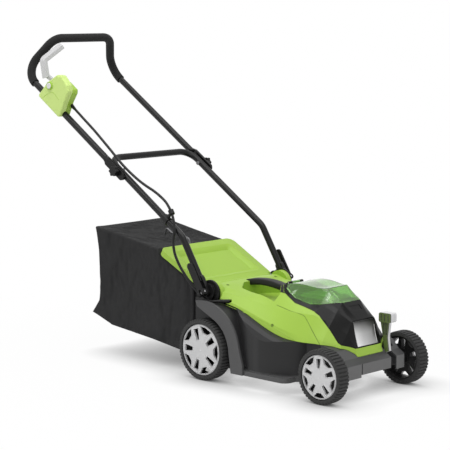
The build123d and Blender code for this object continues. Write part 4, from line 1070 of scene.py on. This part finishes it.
    def build(self) -> None:
        """Make the bag and set it in place of its solid."""
        bm = self.block()
        self.open_mouth(bm)
        bm.normal_update()
        self.weave_map(bm)
        for vert in bm.verts:
            vert.co += self.slack(vert.co)
        bag = place(bm, "grass_bag", Paint.CLOTH, smooth=60.0)
        wall = bag.modifiers.new("cloth", "SOLIDIFY")
        wall.thickness = self.cloth * MM
        wall.offset = -1.0
        round_off = bag.modifiers.new("smooth", "SUBSURF")
        round_off.levels = round_off.render_levels = 1
        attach(bag, "bag")
        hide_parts("bag_fabric")


@dataclass
class CarryGrip:
    """Grained handle bar over the pocket, and the root where it meets the lid's frame."""

    top: tuple[Flat, ...] = ((128, 263), (150, 273), (195, 280), (235, 281), (270, 277), (302, 270))
    bottom: tuple[Flat, ...] = ((302, 252), (265, 258), (232, 262), (195, 261), (150, 254), (128, 249))
    half_width: float = 15.0
    rounding: float = 4.0
    root_x: Flat = (290.0, 370.0)
    root_half_y: float = 82.0
    root_grid: tuple[int, int] = (60, 110)
    root_above: float = 250.0
    root_steepest: float = 0.3
    root_lift: float = 0.6
    root_thick: float = 1.2
    over_cover: float = 400.0

    def build(self) -> None:
        """Extrude the bar's side outline, round its edges, and lay the root on the cover."""
        outline = []
        for part in (self.top, self.bottom):
            line = nurbs("grip", [(x, -self.half_width, z) for x, z in part], 4)
            outline += line_points(line)
            bpy.data.objects.remove(line)
        bm = slab(outline, 2 * self.half_width, self.rounding, True)
        bar = place(bm, "carry_grip", Paint.GRIP, smooth=40.0)
        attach(bar, "mower")
        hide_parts("carry_handle")
        self.lay_root()

    def lay_root(self) -> None:
        """Lay a thin black plate on the cover between the pocket and the lid's frame."""
        skin = Skin("top_cover")
        bm = bmesh.new()
        columns, rows = self.root_grid
        bmesh.ops.create_grid(bm, x_segments=columns, y_segments=rows, size=0.5)
        low, high = self.root_x
        off = []
        for vert in bm.verts:
            x = low + (high - low) * (vert.co.x + 0.5)
            y = 2 * self.root_half_y * vert.co.y
            hit = skin.hit((x, y, self.over_cover), (0.0, 0.0, -1.0))
            if hit is None or hit[0].z < self.root_above * MM or hit[1].z < self.root_steepest:
                off.append(vert)
            else:
                vert.co = hit[0] + Vector((0.0, 0.0, self.root_lift * MM))
        bmesh.ops.delete(bm, geom=off, context="VERTS")
        bmesh.ops.delete(bm, geom=[vert for vert in bm.verts if not vert.link_faces], context="VERTS")
        bmesh.ops.recalc_face_normals(bm, faces=bm.faces)
        root = place(bm, "carry_grip_root", Paint.BLACK)
        wall = root.modifiers.new("plate", "SOLIDIFY")
        wall.thickness = self.root_thick * MM
        wall.offset = -1.0
        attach(root, "mower")


@dataclass
class ControlDetail:
    """Collar round the push button, the panel line on the box's face and the ridge along its seam; the ridge
    has the box's paler lime of painted light.
    """

    button: Flat = (-503.0, 824.5)
    collar: tuple[Flat, ...] = (
        (9.8, -202.0), (9.8, -207.2), (10.6, -208.0), (12.2, -207.6), (13.4, -202.0),
    )
    panel_y: float = -203.0
    panel: tuple[Flat, ...] = (
        (-540, 783.6), (-531.5, 790), (-519.3, 796.8), (-505, 802.7), (-489.3, 805.3), (-481, 799.8),
        (-471.8, 791.7), (-462.6, 783.6),
    )
    panel_radius: float = 0.6
    ridge_y: float = -181.0
    ridge: tuple[Flat, ...] = (
        (-428.7, 828.4), (-421.9, 816.4), (-428, 802.4), (-441.2, 782), (-453.3, 766.1),
    )
    ridge_radius: float = 1.3

    def build(self) -> None:
        """Spin the collar and lay the two lines."""
        bm = spun(list(self.collar), (0, 1, 0), 40, closed=True)
        bmesh.ops.translate(bm, verts=bm.verts, vec=(self.button[0] * MM, 0.0, self.button[1] * MM))
        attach(place(bm, "button_collar", Paint.LIME), "upper_handle")
        panel = [(x, self.panel_y, z) for x, z in self.panel]
        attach(bead(panel, self.panel_radius, "box_panel_line", Paint.LIME), "upper_handle")
        near = Skin("switch_box_inner")
        ridge = [tuple(near.nearest((x, self.ridge_y, z))[0] / MM) for x, z in self.ridge]
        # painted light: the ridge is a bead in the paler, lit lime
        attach(bead(ridge, self.ridge_radius, "box_ridge", Paint.LIT_LIME), "upper_handle")


@dataclass
class FlapFrame:
    """Sloping frame between the flap's rim and its recessed panel."""

    hinge: Flat = (110.0, 262.0)
    rear: Flat = (-71.0, 354.0)
    rows: tuple[Point, ...] = (
        (-3.0, 3.4, 16.0), (0.8, 3.0, 14.0), (15.0, -4.6, 9.0), (17.0, -6.2, 8.0),
    )
    along: Flat = (30.0, 176.0)
    half_width: float = 121.0
    corner_steps: int = 6
    thick: float = 1.0

    def ring(self, bm: bmesh.types.BMesh, inset: float, height: float,
             corner: float) -> list[bmesh.types.BMEdge]:
        """One closed line round the recess.

        Args:
            bm: mesh that gets the line.
            inset: distance in from the recess's edge.
            height: height over the flap's plane.
            corner: radius of the line's corners.

        Returns:
            The line's edges.
        """
        way = Vector((self.rear[0] - self.hinge[0], 0.0, self.rear[1] - self.hinge[1])).normalized()
        up = Vector((way.z, 0.0, -way.x))
        start = Vector((self.hinge[0], 0.0, self.hinge[1]))
        low, high = self.along[0] + inset, self.along[1] - inset
        half = self.half_width - inset
        verts = []
        for centre, first in (((high - corner, half - corner), 0), ((low + corner, half - corner), 90),
                              ((low + corner, corner - half), 180), ((high - corner, corner - half), 270)):
            for step in range(self.corner_steps + 1):
                turn = math.radians(first + 90 / self.corner_steps * step)
                u = centre[0] + corner * math.cos(turn)
                v = centre[1] + corner * math.sin(turn)
                verts.append(bm.verts.new((start + way * u + Vector((0, v, 0)) + up * height) * MM))
        return [bm.edges.new((a, b)) for a, b in zip(verts, verts[1:] + verts[:1])]

    def build(self) -> bpy.types.Object:
        """Bridge the lines round the recess into one sloping frame.

        Returns:
            The frame.
        """
        bm = bmesh.new()
        last = []
        for row in self.rows:
            edges = self.ring(bm, *row)
            if last:
                bmesh.ops.bridge_loops(bm, edges=last + edges)
            last = edges
        bmesh.ops.recalc_face_normals(bm, faces=bm.faces)
        bmesh.ops.solidify(bm, geom=bm.faces[:], thickness=self.thick * MM)
        bmesh.ops.recalc_face_normals(bm, faces=bm.faces)
        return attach(place(bm, "flap_frame", Paint.LIME), "flap")


@dataclass
class HubcapRims:
    """Raised borders round the openings of one hubcap."""

    end: str
    side: str
    phase: float
    inset: float = 15.0
    openings: int = 5
    slot: tuple[Flat, ...] = ((0.40, -0.08), (0.40, 0.08), (0.85, 0.14), (0.85, -0.14))
    rim: tuple[Flat, ...] = (
        (0.68, -0.12), (0.68, 0.12), (0.78, 0.24), (0.89, 0.33), (0.95, 0.0), (0.89, -0.33), (0.78, -0.24),
    )
    bead: float = 1.1
    outside_y: float = 215.0

    def build(self) -> bpy.types.Object:
        """Lay one closed bead round every opening.

        Returns:
            The beads, as one piece.
        """
        low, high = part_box(f"{self.end}_tyre_{self.side}")
        centre = (low + high) / 2 / MM
        radius = (high.z - low.z) / 2 / MM - self.inset
        skin = Skin(f"{self.end}_hubcap_{self.side}")
        way = -1.0 if self.side == "right" else 1.0
        data = bpy.data.curves.new("beads", "CURVE")
        data.dimensions = "3D"
        for outline, first in ((self.slot, self.phase), (self.rim, self.phase + 180 / self.openings)):
            for number in range(self.openings):
                turn = math.radians(first + 360 / self.openings * number)
                spline = data.splines.new("POLY")
                spline.points.add(len(outline) - 1)
                spline.use_cyclic_u = True
                for point, (r, t) in zip(spline.points, outline):
                    x = centre.x + radius * (r * math.cos(turn) - t * math.sin(turn))
                    z = centre.z + radius * (r * math.sin(turn) + t * math.cos(turn))
                    at = skin.nearest((x, way * self.outside_y, z))[0]
                    point.co = (x * MM, at.y, z * MM, 1.0)
        bm = line_tube(bpy.data.objects.new("beads", data), self.bead, 2, False)
        piece = place(bm, f"{self.end}_{self.side}_cap_rims", Paint.HUBCAP)
        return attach(piece, f"{self.end}_wheel_{self.side}")


@dataclass
class Tyre:
    """Ribbed tyre in place of a wheel's plain one: ribs across the tread run over both shoulders."""

    end: str
    side: str
    ribs: int
    depth: float = 13.0
    groove: float = 2.4
    rib_until: float = 0.56
    groove_span: Flat = (0.63, 0.93)

    def outlines(self, width: float) -> tuple[list[Flat], list[Flat]]:
        """Cross-sections on a rib and in a groove, as (way out from the tread, way in from the side).

        Args:
            width: width of the tyre in millimetres.

        Returns:
            The rib's and the groove's outlines from one side of the tyre to the other.
        """
        deep = self.groove
        rib = [(-self.depth, 0.0), (-9.5, 0.0), (-7.5, 0.5), (-2.8, 0.7), (-0.8, 2.4), (0.0, 6.5)]
        low = [(-self.depth, 0.0), (-9.5, 0.0), (-7.5, 0.5), (-3.6, 2.2), (-deep - 0.5, 4.2), (-deep, 7.5)]
        both = []
        for half in (rib, low):
            both.append(half + [(out, width - inward) for out, inward in reversed(half)])
        return both[0], both[1]

    def build(self) -> bpy.types.Object:
        """Make one pitch of the tread, repeat it round the axle and set it in place of the plain tyre.

        Returns:
            The tyre.
        """
        node = f"{self.end}_tyre_{self.side}"
        low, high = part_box(node)
        centre = (low + high) / 2
        radius = (high.z - low.z) / 2
        rib, deep = self.outlines((high.y - low.y) / MM)
        pitch = 2 * math.pi / self.ribs
        bm = bmesh.new()
        last = []
        start, end = self.groove_span
        for share, outline in ((0.0, rib), (self.rib_until, rib), (start, deep), (end, deep), (1.0, rib)):
            turn = Matrix.Rotation(share * pitch, 4, "Y")
            ring = [bm.verts.new(turn @ Vector((radius + out * MM, low.y + inward * MM, 0.0)))
                    for out, inward in outline]
            edges = [bm.edges.new((a, b)) for a, b in zip(ring, ring[1:] + ring[:1])]
            if last:
                bmesh.ops.bridge_loops(bm, edges=last + edges)
            last = edges
        bmesh.ops.spin(bm, geom=bm.verts[:] + bm.edges[:] + bm.faces[:], cent=(0, 0, 0), axis=(0, 1, 0),
                       angle=pitch * (self.ribs - 1), steps=self.ribs - 1, use_merge=False,
                       use_duplicate=True)
        bmesh.ops.remove_doubles(bm, verts=bm.verts, dist=2 * WELD)
        bmesh.ops.recalc_face_normals(bm, faces=bm.faces)
        bmesh.ops.translate(bm, verts=bm.verts, vec=(centre.x, 0.0, centre.z))
        tyre = place(bm, f"{self.end}_{self.side}_tread", Paint.TYRE)
        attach(tyre, f"{self.end}_wheel_{self.side}")
        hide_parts(node)
        return tyre


@dataclass
class StrainRelief:
    """Tapered, ribbed sleeve where the cable leaves a housing."""

    name: str
    body: str
    start: Point
    way: Point
    length: float = 26.0
    wide: float = 6.8
    narrow: float = 4.5
    rings: int = 4
    bore: float = 4.1
    groove: float = 0.7

    def build(self) -> bpy.types.Object:
        """Spin the sleeve's outline about the cable's line.

        Returns:
            The sleeve.
        """
        step = self.length / (2 * self.rings)
        outline = [(self.bore, 0.0), (self.wide, 0.0)]
        for ring in range(2 * self.rings):
            share = (ring + 1) / (2 * self.rings)
            radius = self.wide + (self.narrow - self.wide) * share
            outline.append((radius - (self.groove if ring % 2 else 0.0), step * (ring + 1)))
        outline.append((self.bore, self.length))
        bm = spun(outline, (0, 0, 1), 24)
        turn = Vector(self.way).to_track_quat("Z", "Y").to_matrix().to_4x4()
        bmesh.ops.transform(bm, matrix=Matrix.Translation(metres(self.start)) @ turn, verts=bm.verts)
        sleeve = place(bm, self.name, Paint.BLACK)
        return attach(sleeve, self.body)


@dataclass
class CoverDetail:
    """Fine detail on the lime cover and the cowl: panel lines and screw wells in painted shade, and the
    trim's edge beads of painted highlight.
    """

    groove: tuple[Point, ...] = (
        (361, -106, 240), (390, -108, 235), (415, -111, 230), (448, -110, 227), (467, -111, 224),
        (485, -115, 206), (509, -121, 179), (538, -129, 148),
    )
    rim: tuple[Point, ...] = (
        (207, -157, 221), (253, -155, 212), (301, -152, 201), (341, -150, 192), (377, -148, 181),
        (417, -147, 167), (457, -145, 153),
    )
    screws: tuple[Point, ...] = ((163, -103, 267), (378, -149, 184))
    line: float = 0.7
    well: float = 3.4
    cast_y: float = 260.0
    cast_up: float = 20.0
    cast_slope: float = 0.17
    trim_front: float = 700.0
    trim_half_y: float = 42.0
    trim_z: Flat = (141.0, 189.0)
    trim_steps: int = 8
    # painted highlight: radius of the white bead along each edge of the trim
    trim_highlight: float = 0.9

    def on_cover(self, points: tuple[Point, ...], way: int) -> list[Point]:
        """Drop points on to the cover's side.

        Args:
            points: points near the right side, in millimetres.
            way: -1 for the right side, 1 for the left.

        Returns:
            Points on the surface, in millimetres.
        """
        skin = Skin("top_cover")
        found = []
        for x, y, z in points:
            hit = skin.hit((x, way * self.cast_y, z + self.cast_up), (0.0, -way, -self.cast_slope))
            found.append(tuple(hit[0] / MM) if hit else (x, -way * y, z))
        return found

    def build(self) -> None:
        """Make the lines, the wells and the beads on both sides."""
        for way, side in ((-1, "right"), (1, "left")):
            # the panel grooves are beads in painted shade
            for name, points, finish in (("panel_groove", self.groove, Paint.LIME_SHADE),
                                         ("lower_rim", self.rim, Paint.LIME)):
                path = self.on_cover(points, way)
                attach(bead(path, self.line, f"{name}_{side}", finish), "mower")
            for number, (x, y, z) in enumerate(self.screws, 1):
                self.sink_well(f"screw_well_{side}_{number}", (x, -way * y, z))
            self.lay_trim_highlight(side, way)

    def sink_well(self, name: str, near: Point) -> None:
        """Set a screw's well on the cover, square to its surface, dark with painted shade.

        Args:
            name: name of the piece.
            near: point near the place, in millimetres.
        """
        found = Skin("top_cover").nearest(near)
        outline = [(self.well + 1.2, -0.4), (self.well + 1.0, 0.5), (self.well, 0.7), (self.well - 0.6, 0.1),
                   (1.2, 0.1)]
        bm = spun(outline, (0, 0, 1), 20)
        rings = [edge for edge in bm.edges if edge.is_boundary]
        bmesh.ops.holes_fill(bm, edges=rings)
        bmesh.ops.recalc_face_normals(bm, faces=bm.faces)
        turn = found[1].to_track_quat("Z", "Y").to_matrix().to_4x4()
        bmesh.ops.transform(bm, matrix=Matrix.Translation(found[0]) @ turn, verts=bm.verts)
        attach(place(bm, name, Paint.LIME_SHADE), "mower")

    def lay_trim_highlight(self, side: str, way: int) -> None:
        """Lay the bead of painted highlight along one edge of the silver trim.

        Args:
            side: right or left.
            way: -1 for the right side, 1 for the left.
        """
        skin = Skin("front_trim")
        path = []
        low, high = self.trim_z
        for step in range(self.trim_steps + 1):
            z = low + (high - low) * step / self.trim_steps
            hit = skin.hit((self.trim_front, way * self.trim_half_y, z), (-1.0, 0.0, 0.0))
            if hit:
                path.append(tuple(hit[0] / MM))
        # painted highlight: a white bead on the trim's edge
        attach(bead(path, self.trim_highlight, f"trim_bead_{side}", Paint.WHITE), "mower")


def dress_nodes() -> None:
    """Give every CAD node its finish."""
    for finish, names in NODE_PAINT.items():
        for name in names:
            paint(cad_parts[name], finish)
    LOG.info("dressed %d nodes", sum(len(names) for names in NODE_PAINT.values()))


CABLES = [
    Cable("upper_cable", "cable_upper",
          [(-447.5, -163, 764.3), (-390, -171, 731), (-338, -172, 697), (-297, -172, 666), (-254, -172, 633),
           (-208, -172, 596), (-150, -172, 561), (-109, -172, 542), (-69, -173, 528), (-34, -175, 511),
           (-8, -178, 495), (8, -179, 473)],
          ("upper_handle", "lower_handle"), (-297, -172, 666), (-150, -172, 561)),
    Cable("lower_cable", "cable_lower",
          [(8, -179, 473), (23, -184, 453), (31, -189, 423), (24, -189, 391), (28, -188, 358),
           (41, -187, 332), (62, -186, 304), (84, -181, 277), (104, -176, 256), (125, -174, 240),
           (147, -175, 231), (168, -178.5, 229.5), (185.5, -180, 231.5), (199, -168, 232)],
          ("lower_handle", "mower"), (31, -189, 423), (147, -175, 231)),
]

RELIEFS = [
    StrainRelief("switch_strain_relief", "upper_handle", (-451, -162.5, 766.3), (0.858, -0.12, -0.5)),
    StrainRelief("cover_strain_relief", "mower", (199, -168, 232), (-0.75, -0.66, 0.0), 14.0, 5.6, 4.4, 2),
]

RIMS = [HubcapRims(end, side, phase) for end, phase in zip(ENDS, (20.0, 36.0)) for side in SIDES]
TYRES = [Tyre(end, side, ribs) for end, ribs in zip(ENDS, (46, 54)) for side in SIDES]


def main() -> None:
    """Build the scene in order."""
    logging.basicConfig(level=logging.INFO)
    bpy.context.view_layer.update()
    Studio().build()
    for cable in CABLES:
        cable.build()
    for relief in RELIEFS:
        relief.build()
    dress_nodes()
    GrassBag().build()
    for tyre in TYRES:
        tyre.build()
    CoverDetail().build()
    CarryGrip().build()
    FlapFrame().build()
    ControlDetail().build()
    for rims in RIMS:
        rims.build()


if __name__ == "__main__":
    main()
